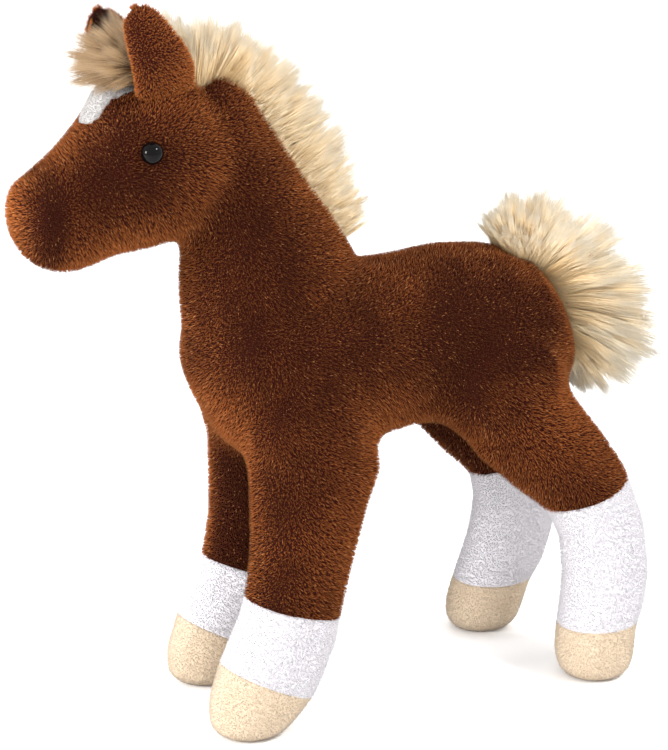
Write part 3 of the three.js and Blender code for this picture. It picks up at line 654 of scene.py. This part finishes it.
def strand_mesh(name, path, radii, shade):
    """Closed three-sided strands. path holds each strand's points from root to tip, radii the half width at
    all but the tip, and shade a share that the material colours the strand by."""
    count, rings = path.shape[0], path.shape[1] - 1
    along = unit(path[:, -1] - path[:, 0])
    aside = unit(np.cross(along, unit(rng.normal(size=(count, 3)))))
    across = np.cross(along, aside)
    turns = np.arange(3) * 2 * math.pi / 3
    ring = aside[:, None] * np.cos(turns)[:, None] + across[:, None] * np.sin(turns)[:, None]
    spots = np.empty((count, rings * 3 + 1, 3))
    for k in range(rings):
        spots[:, k * 3 : k * 3 + 3] = path[:, k, None] + ring * radii[:, k, None, None]
    spots[:, -1] = path[:, -1]
    faces, levels = [[0, 2, 1]], [[0.0, 0.02, 0.0]]
    for k in range(rings):
        low, high = k / rings, (k + 1) / rings
        for j in range(3):
            this, following = k * 3 + j, k * 3 + (j + 1) % 3
            if k == rings - 1:
                faces.append([this, following, rings * 3])
                levels.append([low, low, high])
            else:
                faces += [[this, following, following + 3], [this, following + 3, this + 3]]
                levels += [[low, low, high], [low, high, high]]
    faces, levels = np.array(faces), np.array(levels)
    width = rings * 3 + 1
    indices = (np.arange(count)[:, None, None] * width + faces).reshape(-1)
    spread = np.array([-0.004, 0.004, 0.0])
    u = np.broadcast_to(np.clip(shade, 0.01, 0.99)[:, None, None] + spread, (count, *faces.shape))
    v = np.broadcast_to(levels, (count, *faces.shape))
    mesh = bpy.data.meshes.new(name)
    mesh.vertices.add(count * width)
    mesh.vertices.foreach_set("co", spots.astype(np.float32).ravel())
    mesh.loops.add(len(indices))
    mesh.loops.foreach_set("vertex_index", indices.astype(np.int32))
    mesh.polygons.add(len(indices) // 3)
    mesh.polygons.foreach_set("loop_start", np.arange(0, len(indices), 3, dtype=np.int32))
    mesh.update(calc_edges=True)
    mesh.uv_layers.new(name="OFBake")
    mesh.uv_layers["OFBake"].data.foreach_set("uv", np.stack([u, v], axis=-1).astype(np.float32).ravel())
    thing = bpy.data.objects.new(name, mesh)
    bpy.context.scene.collection.objects.link(thing)
    return thing


def nap_way(points):
    """Which way the pile is brushed at each place."""
    way = np.tile([0.45, 0.0, -0.9], (len(points), 1))
    head = in_head(points)[:, None]
    way = way * (1 - head) + np.array([0.8, 0.0, -0.35]) * head
    nose = smooth_step((PARTING_X + 0.004 - points[:, 0]) / 0.008)[:, None] * head
    way = way * (1 - nose) + np.array([-0.9, 0.0, 0.25]) * nose
    sway = np.stack([value_noise(points, 0.014, seed) - 0.5 for seed in (1, 2, 3)], axis=1)
    return way + 0.9 * sway


def near_parting(points):
    """1 along the muzzle's parting, falling away on both sides of it."""
    return np.exp(-(((points[:, 0] - PARTING_X) / PARTING_HALF_WIDTH) ** 2)) * in_head(points)


def painted_coat_light_and_shade(points, normals):
    """How much lighter or darker the chestnut pile is painted at each place: painted light and shade in
    patches, painted shade along the parting and on the legs' inner sides.
    """
    tone = PARTING_PAINTED_SHADE * near_parting(points)
    for (x, y, z), radius, change in PAINTED_LIGHT_AND_SHADE:
        off = np.stack([points[:, 0] - x, np.abs(points[:, 1]) + y, points[:, 2] - z], axis=1)
        tone += change * np.exp(-((np.linalg.norm(off, axis=1) / radius) ** 2))
    # Painted shade on the inner sides of the legs, low down
    inwards = smooth_step(-normals[:, 1] * np.sign(points[:, 1]) * 1.6)
    return tone + INNER_LEG_PAINTED_SHADE * inwards * smooth_step((0.118 - points[:, 2]) / 0.02)


def pile_lean(points):
    """How far the pile is brushed over at each place, as a share of its usual lean."""
    return (0.4 + 1.2 * value_noise(points, 0.016, 21)) * (1 - 0.9 * near_parting(points))


def ear_nap(points):
    return np.tile([-0.35, 0.0, 1.0], (len(points), 1))


def grow_pile(cover, name, kind, keep=None, height=None, brushed=nap_way):
    """Short pile on a cover, as pieces of many strands each."""
    density, lean, spread, width, clumps = PILES[kind]
    area = sum(face.area for face in cover.data.polygons)
    roots, normals = scatter(cover, int(density * area * 1e6))
    if keep:
        kept = keep(roots)
        roots, normals = roots[kept], normals[kept]
    count = len(roots)
    way = brushed(roots)
    way = unit(way - (way * normals).sum(axis=1, keepdims=True) * normals)
    tilt = np.radians(lean * pile_lean(roots) + rng.normal(size=count) * spread)[:, None]
    aim = unit(normals * np.cos(tilt) + way * np.sin(tilt) + rng.normal(size=(count, 3)) * 0.09)
    height = height or pile_height(roots)
    clump = value_noise(roots, CLUMP_SIZE, 7) - 0.5
    length = height / math.cos(math.radians(lean)) * (0.94 + clumps * clump + 0.14 * rng.random(count))
    roots = roots - normals * ROOT_DEPTH
    path = np.stack([roots, roots + aim * length[:, None]], axis=1)
    mottle = sum(share * value_noise(roots, size, seed) for share, size, seed in MOTTLE)
    shade = -0.14 + 0.85 * mottle + 0.14 * rng.random(count)
    # Painted light and shade by place on the chestnut pile
    if kind == "chestnut":
        shade += painted_coat_light_and_shade(roots, normals)
    if kind == "ear":
        shade += EAR_TONE
    shade = np.clip(shade, *SHADES)
    # Light flecks: painted glints in the pile
    shade[rng.random(count) > 0.975] = FLECK_SHADE
    radii = width / 2 * (0.8 + 0.4 * rng.random((count, 1)))
    order = np.argsort(roots[:, 0])
    parts = np.array_split(order, math.ceil(count / STRANDS_A_PIECE))
    return [
        strand_mesh(numbered(f"{name}_pile", number), path[part], radii[part], shade[part])
        for number, part in enumerate(parts)
    ]


def numbered(name, number):
    """The name itself for the first piece, then the name with a number."""
    return f"{name}_{number + 1}" if number else name


def dress(thing, material):
    thing.data.materials.clear()
    thing.data.materials.append(material)


def new_material(name):
    material = bpy.data.materials.new(name)
    material.use_nodes = True
    nodes = material.node_tree.nodes
    return material, nodes, material.node_tree.links, nodes["Principled BSDF"]


def new_group(name, colours, numbers, outputs):
    """A shader node group with these inputs and outputs. Returns it with its nodes, links and two ends."""
    group = bpy.data.node_groups.new(name, "ShaderNodeTree")
    for colour in colours:
        group.interface.new_socket(colour, in_out="INPUT", socket_type="NodeSocketColor")
    for number, value in numbers.items():
        socket = group.interface.new_socket(number, in_out="INPUT", socket_type="NodeSocketFloat")
        socket.default_value = value
    for output, kind in outputs.items():
        group.interface.new_socket(output, in_out="OUTPUT", socket_type=f"NodeSocket{kind}")
    nodes, links = group.nodes, group.links
    return group, nodes, links, nodes.new("NodeGroupInput").outputs, nodes.new("NodeGroupOutput").inputs


def mixed(nodes, links, factor, first, second):
    """The colour between two others."""
    mix = nodes.new("ShaderNodeMix")
    mix.data_type = "RGBA"
    links.new(factor, mix.inputs["Factor"])
    links.new(first, mix.inputs["A"])
    links.new(second, mix.inputs["B"])
    return mix.outputs["Result"]


def ranged(nodes, links, value, low, high):
    """How far a value lies between two others, from 0 to 1."""
    part = nodes.new("ShaderNodeMapRange")
    part.interpolation_type = "SMOOTHSTEP"
    links.new(value, part.inputs["Value"])
    links.new(low, part.inputs["From Min"])
    links.new(high, part.inputs["From Max"])
    return part.outputs["Result"]


def times(nodes, links, first, second):
    product_of = nodes.new("ShaderNodeMath")
    product_of.operation = "MULTIPLY"
    links.new(first, product_of.inputs[0])
    links.new(second, product_of.inputs[1])
    return product_of.outputs[0]


def strand_group():
    """The colour of a strand: U runs from dark strands to light ones and the few flecks, V from root to
    tip. Along is how nearly the strand is looked at along its length; there its colour is painted darker, a
    painted shade like that deep in velvet."""
    numbers = {
        "U": 0, "V": 0, "One": 1, "Rise Start": 0, "Rise End": 1, "Fleck Start": 0.9,
        "End Start": 0.6, "End Share": 0,
        "Along": 0, "Along Start": 0.45, "Along End": 0.95, "Along Share": 0,
    }
    outputs = {"Color": "Color"}
    group, nodes, links, given, result = new_group("strand_colour", STRAND_COLOURS, numbers, outputs)
    root = mixed(nodes, links, given["U"], given["Dark Root"], given["Light Root"])
    tip = mixed(nodes, links, given["U"], given["Dark Tip"], given["Light Tip"])
    rise = ranged(nodes, links, given["V"], given["Rise Start"], given["Rise End"])
    strand = mixed(nodes, links, rise, root, tip)
    fleck = times(nodes, links, rise, ranged(nodes, links, given["U"], given["Fleck Start"], given["One"]))
    strand = mixed(nodes, links, fleck, strand, given["Fleck"])
    end = ranged(nodes, links, given["V"], given["End Start"], given["One"])
    strand = mixed(nodes, links, times(nodes, links, end, given["End Share"]), strand, given["End"])
    # Painted shade: the colour darkens towards the dark root where the strand is seen along its length
    along = ranged(nodes, links, given["Along"], given["Along Start"], given["Along End"])
    dark = times(nodes, links, along, given["Along Share"])
    links.new(mixed(nodes, links, dark, strand, given["Dark Root"]), result["Color"])
    return group


def backing_group():
    """Knitted backing under the pile: mottled, with the fine grain of its stitches."""
    scales = {"Mottle Scale": 160, "Grain Scale": 1400}
    outputs = {"Color": "Color", "Height": "Float"}
    group, nodes, links, given, result = new_group("backing", ("Dark", "Light"), scales, outputs)
    place = nodes.new("ShaderNodeTexCoord")
    mottle, grain = (nodes.new("ShaderNodeTexNoise") for _ in range(2))
    for noise, scale in ((mottle, "Mottle Scale"), (grain, "Grain Scale")):
        links.new(place.outputs["Object"], noise.inputs["Vector"])
        links.new(given[scale], noise.inputs["Scale"])
    links.new(mixed(nodes, links, mottle.outputs["Fac"], given["Dark"], given["Light"]), result["Color"])
    links.new(grain.outputs["Fac"], result["Height"])
    return group


def strand_material(name, group, colours, settings, roughness, sheen, sheen_tint):
    """Pile or hair, coloured by its own map."""
    material, nodes, links, surface = new_material(name)
    chart = nodes.new("ShaderNodeUVMap")
    chart.uv_map = "OFBake"
    split = nodes.new("ShaderNodeSeparateXYZ")
    links.new(chart.outputs["UV"], split.inputs[0])
    strand = nodes.new("ShaderNodeGroup")
    strand.node_tree = group
    # How end-on the strand is seen, for the painted shade
    facing = nodes.new("ShaderNodeLayerWeight")
    links.new(facing.outputs["Facing"], strand.inputs["Along"])
    links.new(split.outputs["X"], strand.inputs["U"])
    links.new(split.outputs["Y"], strand.inputs["V"])
    for socket, colour in zip(STRAND_COLOURS, colours):
        strand.inputs[socket].default_value = (*colour, 1)
    for socket, value in settings.items():
        strand.inputs[socket].default_value = value
    links.new(strand.outputs["Color"], surface.inputs["Base Color"])
    surface.inputs["Roughness"].default_value = roughness
    surface.inputs["Specular IOR Level"].default_value = 0.06
    surface.inputs["Sheen Weight"].default_value = sheen
    surface.inputs["Sheen Roughness"].default_value = 0.4
    surface.inputs["Sheen Tint"].default_value = (*sheen_tint, 1)
    return material


def backing_material(name, group, dark, light):
    material, nodes, links, surface = new_material(name)
    backing = nodes.new("ShaderNodeGroup")
    backing.node_tree = group
    backing.inputs["Dark"].default_value = (*dark, 1)
    backing.inputs["Light"].default_value = (*light, 1)
    bump = nodes.new("ShaderNodeBump")
    bump.inputs["Distance"].default_value = 0.0004
    bump.inputs["Strength"].default_value = 0.6
    links.new(backing.outputs["Color"], surface.inputs["Base Color"])
    links.new(backing.outputs["Height"], bump.inputs["Height"])
    links.new(bump.outputs["Normal"], surface.inputs["Normal"])
    surface.inputs["Roughness"].default_value = 0.9
    surface.inputs["Specular IOR Level"].default_value = 0.1
    return material


def plastic_material(name, scale, dark, light, roughness, specular):
    """Moulded plastic with the faintest unevenness."""
    material, nodes, links, surface = new_material(name)
    place = nodes.new("ShaderNodeTexCoord")
    cloud = nodes.new("ShaderNodeTexNoise")
    cloud.inputs["Scale"].default_value = scale
    shades = nodes.new("ShaderNodeValToRGB")
    for element, (at, colour) in zip(shades.color_ramp.elements, ((0.3, dark), (0.8, light))):
        element.position, element.color = at, (*colour, 1)
    links.new(place.outputs["Object"], cloud.inputs["Vector"])
    links.new(cloud.outputs["Fac"], shades.inputs["Fac"])
    links.new(shades.outputs["Color"], surface.inputs["Base Color"])
    surface.inputs["Roughness"].default_value = roughness
    surface.inputs["Specular IOR Level"].default_value = specular
    return material


def make_finishes():
    """All the materials by name."""
    strands, backing = strand_group(), backing_group()
    finishes = {name: strand_material(name, strands, *finish) for name, finish in STRAND_FINISHES.items()}
    for name, (dark, light) in BACKING_FINISHES.items():
        finishes[name] = backing_material(name, backing, dark, light)
    for name, finish in PLASTIC_FINISHES.items():
        finishes[name] = plastic_material(name, *finish)
    return finishes


def light_stage():
    """The camera, a pale floor and soft lights."""
    bpy.ops.object.camera_add()
    camera = bpy.context.object
    back = Vector((
        math.sin(AZIMUTH) * math.cos(ELEVATION),
        -math.cos(AZIMUTH) * math.cos(ELEVATION),
        math.sin(ELEVATION),
    ))
    camera.location = TARGET + DISTANCE * back
    camera.rotation_mode = "QUATERNION"
    camera.rotation_quaternion = (-back).to_track_quat("-Z", "Y")
    camera.data.sensor_width = 36
    camera.data.lens = 137.1
    camera.data.clip_start = 0.01
    bpy.context.scene.camera = camera
    bpy.ops.mesh.primitive_plane_add(size=12)
    floor = bpy.context.object
    floor.name = "floor"
    paper, _, _, surface = new_material("paper")
    surface.inputs["Base Color"].default_value = (0.97, 0.97, 0.97, 1)
    surface.inputs["Roughness"].default_value = 0.9
    floor.data.materials.append(paper)
    for name, (place, size, power) in LAMPS.items():
        bpy.ops.object.light_add(type="AREA", location=place)
        lamp = bpy.context.object
        lamp.name = name
        lamp.data.size = size
        lamp.data.energy = power
        lamp.rotation_mode = "QUATERNION"
        lamp.rotation_quaternion = (TARGET - Vector(place)).to_track_quat("-Z", "Y")
    world = bpy.context.scene.world or bpy.data.worlds.new("world")
    bpy.context.scene.world = world
    world.use_nodes = True
    world.node_tree.nodes["Background"].inputs["Color"].default_value = (1, 1, 1, 1)
    world.node_tree.nodes["Background"].inputs["Strength"].default_value = 1.5
    bpy.context.scene.view_settings.view_transform = "Standard"


def attach(thing, name):
    """Ties a cover, or the pile on it, to the body that it follows; the neck's and the legs' are baked in
    place.
    """
    kind = name.removeprefix("stocking_").removeprefix("hoof_").removeprefix("leg_")
    if name == "neck":
        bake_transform(thing)
    elif name in ("head", "blaze"):
        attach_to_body(thing, "head")
    elif name == "torso":
        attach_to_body(thing, "torso")
    elif name.startswith("leg_"):
        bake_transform(thing)
    else:
        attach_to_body(thing, f"leg_{kind}")


def cover_kind(name):
    if name == "blaze":
        return "blaze"
    if name.startswith("stocking"):
        return "white"
    return "hoof" if name.startswith("hoof") else "chestnut"


def nodes_stood_for(name):
    if name in ("torso", "neck", "head") or name.startswith("leg_"):
        return [f"{name}_skin", f"{name}_filling"]
    return [name]


def clear_of_eyes(points):
    """A mask of the places that no eye covers."""
    far = np.ones(len(points), bool)
    for side in SIDES:
        seat, _ = eye_seat(side)
        far &= np.linalg.norm(points - seat, axis=1) > EYE_RADIUS * 1.1
    return far


def build_covers(finishes):
    """All the stuffed covers with their pile."""
    hide = stuffed_hide()
    cut_seams(hide)
    covers = part_covers(hide)
    for name, cover in covers.items():
        kind = cover_kind(name)
        for grown in grow_pile(cover, name, kind, keep=clear_of_eyes if name == "head" else None):
            dress(grown, finishes[f"{kind}_pile"])
            attach(grown, name)
        close_cover(cover)
        dress(cover, finishes[f"{kind}_cover"])
        attach(cover, name)
        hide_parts(*nodes_stood_for(name))
    return covers


def eye_seat(side):
    """Where an eye's dome meets the cover, and the way it looks."""
    forwards, up = EYE_TILTS
    out = np.array([-math.sin(forwards), SIDES[side] * math.cos(up), math.sin(up)])
    out /= np.linalg.norm(out)
    spots = spots_of(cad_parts[f"eye_{side}"])
    middle = spots.mean(axis=0)
    top = ((spots - middle) @ out).max()
    return middle + out * (top - EYE_DOME - EYE_SINK), out


def make_eye(side, finishes):
    """A safety eye: a glossy dome with a softened rim, on a shank."""
    bpy.ops.object.select_all(action="DESELECT")
    bpy.ops.mesh.primitive_uv_sphere_add(segments=48, ring_count=32, radius=EYE_RADIUS)
    eye = bpy.context.object
    eye.name = f"safety_eye_{side}"
    bpy.ops.object.mode_set(mode="EDIT")
    bpy.ops.mesh.select_all(action="SELECT")
    bpy.ops.transform.resize(value=(1, 1, EYE_DOME / EYE_RADIUS))
    bpy.ops.mesh.bisect(plane_co=(0, 0, -EYE_EDGE), plane_no=(0, 0, 1), clear_inner=True, use_fill=True)
    bpy.ops.mesh.inset(thickness=EYE_RADIUS - SHANK_RADIUS)
    bpy.ops.mesh.extrude_region_move(TRANSFORM_OT_translate={"value": (0, 0, -SHANK_LENGTH)})
    bpy.ops.object.mode_set(mode="OBJECT")
    seat, out = eye_seat(side)
    eye.rotation_mode = "QUATERNION"
    eye.rotation_quaternion = Vector(out).to_track_quat("Z", "Y")
    eye.location = seat
    bpy.ops.object.transform_apply(location=True, rotation=True, scale=True)
    bpy.ops.object.shade_smooth_by_angle(angle=math.radians(40))
    dress(eye, finishes["eye_black"])
    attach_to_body(eye, "head")
    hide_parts(f"eye_{side}")


def ear_place(side, turn, share, inset):
    """A point of an ear's cloth: turn goes round from one edge to the other, share from root to tip."""
    rise, lean = share * EAR_LENGTH, EAR_LEANS[side]
    x, y, z = EAR_ROOTS[side]
    tuck = EAR_TUCK * smooth_step(1 - share / 0.6)
    aside = SIDES[side] * (y - tuck + rise * math.sin(EAR_SPLAY))
    middle = np.stack([x - rise * math.sin(lean), aside, z + rise * math.cos(lean)], axis=-1)
    behind, beside = math.cos(EAR_FACING), SIDES[side] * math.sin(EAR_FACING)
    out = np.array([behind, beside, 0])
    broad = unit(np.array([math.sin(EAR_FACING), -SIDES[side] * behind, math.sin(lean)]))
    taper = np.interp(share, EAR_RISE_SHARES, EAR_WIDTH_SHARES)
    wide = np.maximum(taper * EAR_HALF_WIDTH - inset, 0.0003)
    deep = np.maximum(taper**0.7 * EAR_CUP - inset, 0.0002)
    return middle + broad * (wide * np.sin(turn))[:, None] + out * (deep * np.cos(turn))[:, None]


def make_ear_cloth(name, side, inset, reach):
    """One cloth of an ear as an open sheet, its normals away from the hollow."""
    bpy.ops.object.select_all(action="DESELECT")
    bpy.ops.mesh.primitive_grid_add(x_subdivisions=28, y_subdivisions=26, size=1)
    cloth = bpy.context.object
    cloth.name = name
    flat = spots_of(cloth)
    turn, share = flat[:, 0] * 2 * EAR_CURL, (flat[:, 1] + 0.5) * reach
    move_to(cloth, ear_place(side, turn, share, inset))
    back = np.abs(turn) < 0.1
    out = np.array([math.cos(EAR_FACING), SIDES[side] * math.sin(EAR_FACING), 0])
    if (normals_of(cloth)[back] @ out).mean() < 0:
        edit(cloth, bpy.ops.mesh.flip_normals)
    return cloth


def ear_rim(side):
    """The fringe of pile along an ear's rim."""
    count = RIM_STRANDS
    edge = np.where(rng.random(count) > 0.5, 1, -1)
    share = 0.2 + 0.74 * rng.random(count)
    crown = rng.random(count) < 0.02
    share[crown] = 1.0
    turn = edge * EAR_CURL * np.where(crown, rng.random(count), 1)
    roots = ear_place(side, turn, share, EAR_PILE)
    past = ear_place(side, turn * 1.05, share, EAR_PILE) - roots
    rise = ear_place(side, turn, share + 0.02, EAR_PILE) - roots
    aims = unit(unit(past) * ~crown[:, None] + unit(rise) * 0.7 + rng.normal(size=(count, 3)) * 0.25)
    tips = roots + aims * (EAR_PILE * (0.8 + 0.9 * rng.random((count, 1))))
    path = np.stack([roots - aims * 0.0004, tips], axis=1)
    radii, shade = np.full((count, 1), 0.00017), 0.35 + 0.5 * rng.random(count)
    return strand_mesh(f"ear_{side}_rim_pile", path, radii, shade)


def make_ear(side, finishes):
    """A cupped ear: chestnut pile outside and a shorter pile inside, coloured darker: painted shade in the
    hollow.
    """
    outer = make_ear_cloth(f"ear_{side}_cover", side, EAR_PILE, 1.0)
    lining = make_ear_cloth(f"ear_{side}_lining", side, EAR_PILE + LINING_INSET, LINING_REACH)
    edit(lining, bpy.ops.mesh.flip_normals)
    for cloth, kind, finish, height, slot, node in (
        (outer, "ear", "chestnut", EAR_PILE, "chestnut_pile", "ear_outer"),
        (lining, "lining", "lining", LINING_PILE, "ear_lining", "ear_lining"),
    ):
        grown = grow_pile(cloth, cloth.name.removesuffix("_cover"), kind, height=height, brushed=ear_nap)
        if cloth is outer:
            grown.append(ear_rim(side))
        modify(cloth, "SOLIDIFY", thickness=EAR_CLOTH, offset=-1)
        bpy.ops.object.shade_smooth()
        dress(cloth, finishes[f"{finish}_cover"])
        for pile in grown:
            dress(pile, finishes[f"{finish}_pile"])
        for thing in (cloth, *grown):
            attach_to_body(thing, f"ear_{side}")
        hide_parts(f"{node}_{side}")


def nearest_lock(keys, count):
    """The lock that each strand joins: the nearest by key of so many strands picked as middles."""
    middles = keys[rng.choice(len(keys), count, replace=False)]
    gap = (keys**2).sum(axis=1)[:, None] - 2 * keys @ middles.T + (middles**2).sum(axis=1)
    return gap.argmin(axis=1)


def of_locks(values, lock):
    """The mean of each lock's values, for every strand in it."""
    size = np.maximum(np.bincount(lock), 1)
    return np.stack([np.bincount(lock, values[:, k]) / size for k in range(3)], axis=1)[lock]


def reach_of(node, roots, aims, far=0.1):
    """How far along its aim each root's line last leaves the space of a CAD node, or 0 where it misses."""
    space = surface_of(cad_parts[node])
    reach = np.zeros(len(roots))
    for index, (root, aim) in enumerate(zip(roots, aims)):
        hit = space.ray_cast(Vector(root + aim * far), Vector(-aim), far)
        if hit[0]:
            reach[index] = far - hit[3]
    return reach


def lay_hair(name, roots, aims, lengths, lock, pull, bend, radius, shade):
    """Long strands whose tips draw together in pointed locks. bend is how far gravity bows each one."""
    locks = lock.max() + 1
    reach = (0.80 + 0.34 * rng.random(locks))[lock]
    stray = unit(rng.normal(size=(locks, 3)))[lock]
    own = rng.normal(size=(len(roots), 3)) * 0.05
    ends = roots + unit(aims + stray * 0.12 + own) * (lengths * reach)[:, None]
    heart = of_locks(ends, lock)
    off = np.linalg.norm(ends - heart, axis=1)
    off = off / np.maximum(np.bincount(lock, off)[lock] / np.maximum(np.bincount(lock), 1)[lock], 1e-6)
    ends = roots + (ends - roots) * (1.17 - 0.2 * np.minimum(off, 2))[:, None]
    ends = ends + (heart - ends) * (pull * rng.random(len(roots)) ** 0.4)[:, None]
    bends = (roots + ends) / 2 + aims * (lengths * 0.10)[:, None] + stray * (lengths * 0.04)[:, None] + bend
    t = np.linspace(0, 1, 3)[None, :, None]
    path = (1 - t) ** 2 * roots[:, None] + 2 * t * (1 - t) * bends[:, None] + t**2 * ends[:, None]
    path = path + unit(rng.normal(size=(len(roots), 1, 3))) * 0.0007 * t
    shade = shade + 0.50 * (rng.random(locks)[lock] - 0.5) + 0.30 * (rng.random(len(roots)) - 0.5)
    radii = radius * np.array([[1.0, 0.8]]) * (0.7 + 0.6 * rng.random((len(roots), 1)))
    shade = np.clip(shade, 0.01, 0.99)
    parts = np.array_split(np.argsort(roots[:, 0]), math.ceil(len(roots) / HAIRS_A_PIECE))
    return [
        strand_mesh(numbered(name, number), path[part], radii[part], shade[part])
        for number, part in enumerate(parts)
    ]


def crest_line(share):
    """Points of the crest at shares of its length, and the line's direction there."""
    line = np.array(CREST)
    steps = np.linalg.norm(np.diff(line, axis=0), axis=1)
    reach = np.concatenate([[0], np.cumsum(steps)]) / steps.sum()
    at, ahead, behind = (
        np.stack([np.interp(share + off, reach, line[:, k]) for k in range(2)], axis=1)
        for off in (0, 0.05, -0.05)
    )
    return at, unit(ahead - behind)


def onto(surface, points, way, reach):
    """Moves points that start above a surface down onto it along a way, each at most as far as reach."""
    for index in range(len(points)):
        hit = surface.ray_cast(Vector(points[index]), Vector(way[index]), reach)[0]
        if hit:
            points[index] = hit
    return points


def make_mane(covers, finishes):
    """The upright mane along the crest."""
    count, locks, pull, radius = MANE_HAIR
    share = (np.arange(count) + rng.random(count)) / count
    aside = rng.random(count) * 2 - 1
    at, way = crest_line(share)
    rise = np.stack([-way[:, 1], np.zeros(count), way[:, 0]], axis=1)
    crest = np.stack([at[:, 0], aside * MANE_HALF_WIDTH, at[:, 1]], axis=1)
    start = crest + rise * CREST_CLEAR
    roots = crest.copy()
    for name in ("head", "neck", "torso"):
        roots = np.where(roots == crest, onto(surface_of(covers[name]), start.copy(), -rise, 0.016), roots)
    roots = np.where(roots == start, crest - rise * 0.004, roots) - rise * HAIR_ROOT_DEPTH
    wander = np.stack([value_noise(crest, 0.009, seed) - 0.5 for seed in (31, 32, 33)], axis=1)
    lean = np.interp(share, [0, 0.12, 0.25, 1], [0.42, 0.3, 0.05, 0.0])[:, None] * np.array([-1, 0, 0])
    spread = np.interp(share, [0, 0.15, 0.4, 1], [0.18, 0.22, 0.42, 0.42])[:, None] * np.array([0, 1, 0])
    aims = unit(rise + spread * aside[:, None] + lean + wander * 0.35)
    least = np.interp(share, MANE_SHARES, MANE_LEAST) * (1 - 0.15 * aside**2)
    lengths = np.maximum(reach_of("mane", roots, aims) * 1.12, least) * (0.92 + 0.14 * rng.random(count))
    lock = nearest_lock(crest * [1, 0.7, 1] + rng.normal(size=(count, 3)) * 0.0007, locks)
    for mane in lay_hair("mane_hair", roots, aims, lengths, lock, pull, np.zeros(3), radius, 0.5):
        dress(mane, finishes["flaxen_hair"])
        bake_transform(mane)
        if mane.name == "mane_hair":
            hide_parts("mane")


def make_tail(covers, finishes):
    """The full tail: locks that fan out from a strip round the rump."""
    count, locks, pull, radius = TAIL_HAIR
    rump = surface_of(covers["torso"])
    angle = np.interp(rng.random(count), [0, 1], [RUMP_ANGLES[0], RUMP_ANGLES[-1]])
    aside = rng.random(count) * 2 - 1
    turn = np.radians(angle)
    out = np.stack([np.cos(turn), np.zeros(count), np.sin(turn)], axis=1)
    middle = np.stack([
        np.full(count, RUMP_MIDDLE[0]), aside * RUMP_HALF_WIDTH, np.full(count, RUMP_MIDDLE[1])
    ], axis=1)
    roots = onto(rump, middle + out * RUMP_REACH, -out, RUMP_REACH) - out * HAIR_ROOT_DEPTH
    heading = np.radians(np.interp(angle, RUMP_ANGLES, RUMP_HEADINGS) + rng.normal(size=count) * 9)
    sway = 0.62 * aside + rng.normal(size=count) * 0.10
    aims = unit(np.stack([np.cos(heading), sway, np.sin(heading)], axis=1))
    lengths = reach_of("tail", roots, aims) * (0.94 + 0.16 * rng.random(count)) * 1.08
    clear = lengths > TAIL_LEAST
    roots, aims, lengths = roots[clear], aims[clear], lengths[clear]
    lock = nearest_lock(np.concatenate([roots * 60, aims * [1, 0.8, 1]], axis=1), locks)
    droop = np.array([0.001, 0, 0.0025])
    shade = 0.60 + 0.6 * (value_noise(roots + aims * 0.02, 0.013, 41) - 0.5)
    for tail in lay_hair("tail_hair", roots, aims, lengths, lock, pull, droop, radius, shade):
        dress(tail, finishes["flaxen_hair"])
        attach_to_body(tail, "tail")
        if tail.name == "tail_hair":
            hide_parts("tail")


def make_forelock(finishes):
    """The forelock: locks that fan from between the ears, up and forward over the blaze."""
    count, locks, pull, radius = FORELOCK_HAIR
    turn = np.interp(rng.random(count), [0, 0.25, 1], [104, 142, 188])
    aside = rng.random(count) * 2 - 1
    flat = np.radians(turn)
    aims = unit(np.stack([np.cos(flat), aside * 0.34, np.sin(flat)], axis=1))
    forwards, up = rng.normal(size=count) * 0.002, rng.normal(size=count) * 0.001
    roots = FORELOCK_ROOT + np.stack([forwards, aside * 0.007, up], axis=1)
    reach = np.maximum(reach_of("forelock", roots, aims) * 1.08, FORELOCK_LEAST)
    reach = reach * (0.92 + 0.14 * rng.random(count))
    lock = nearest_lock(np.concatenate([roots * 60, aims], axis=1), locks)
    bend = np.array([0, 0, 1]) * (reach * 0.14 * np.clip((turn - 140) / 40, 0, 1))[:, None]
    for forelock in lay_hair("forelock_hair", roots, aims, reach, lock, pull, bend, radius, 0.42):
        # The forelock wears darker hair than the mane: painted shade
        dress(forelock, finishes["forelock_hair"])
        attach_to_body(forelock, "head")
        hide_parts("forelock")


light_stage()
finishes = make_finishes()
covers = build_covers(finishes)
for side in SIDES:
    make_eye(side, finishes)
    make_ear(side, finishes)
    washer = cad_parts[f"eye_washer_{side}"]
    washer.data.materials.clear()
    washer.data.materials.append(finishes["washer_plastic"])
make_mane(covers, finishes)
make_tail(covers, finishes)
make_forelock(finishes)
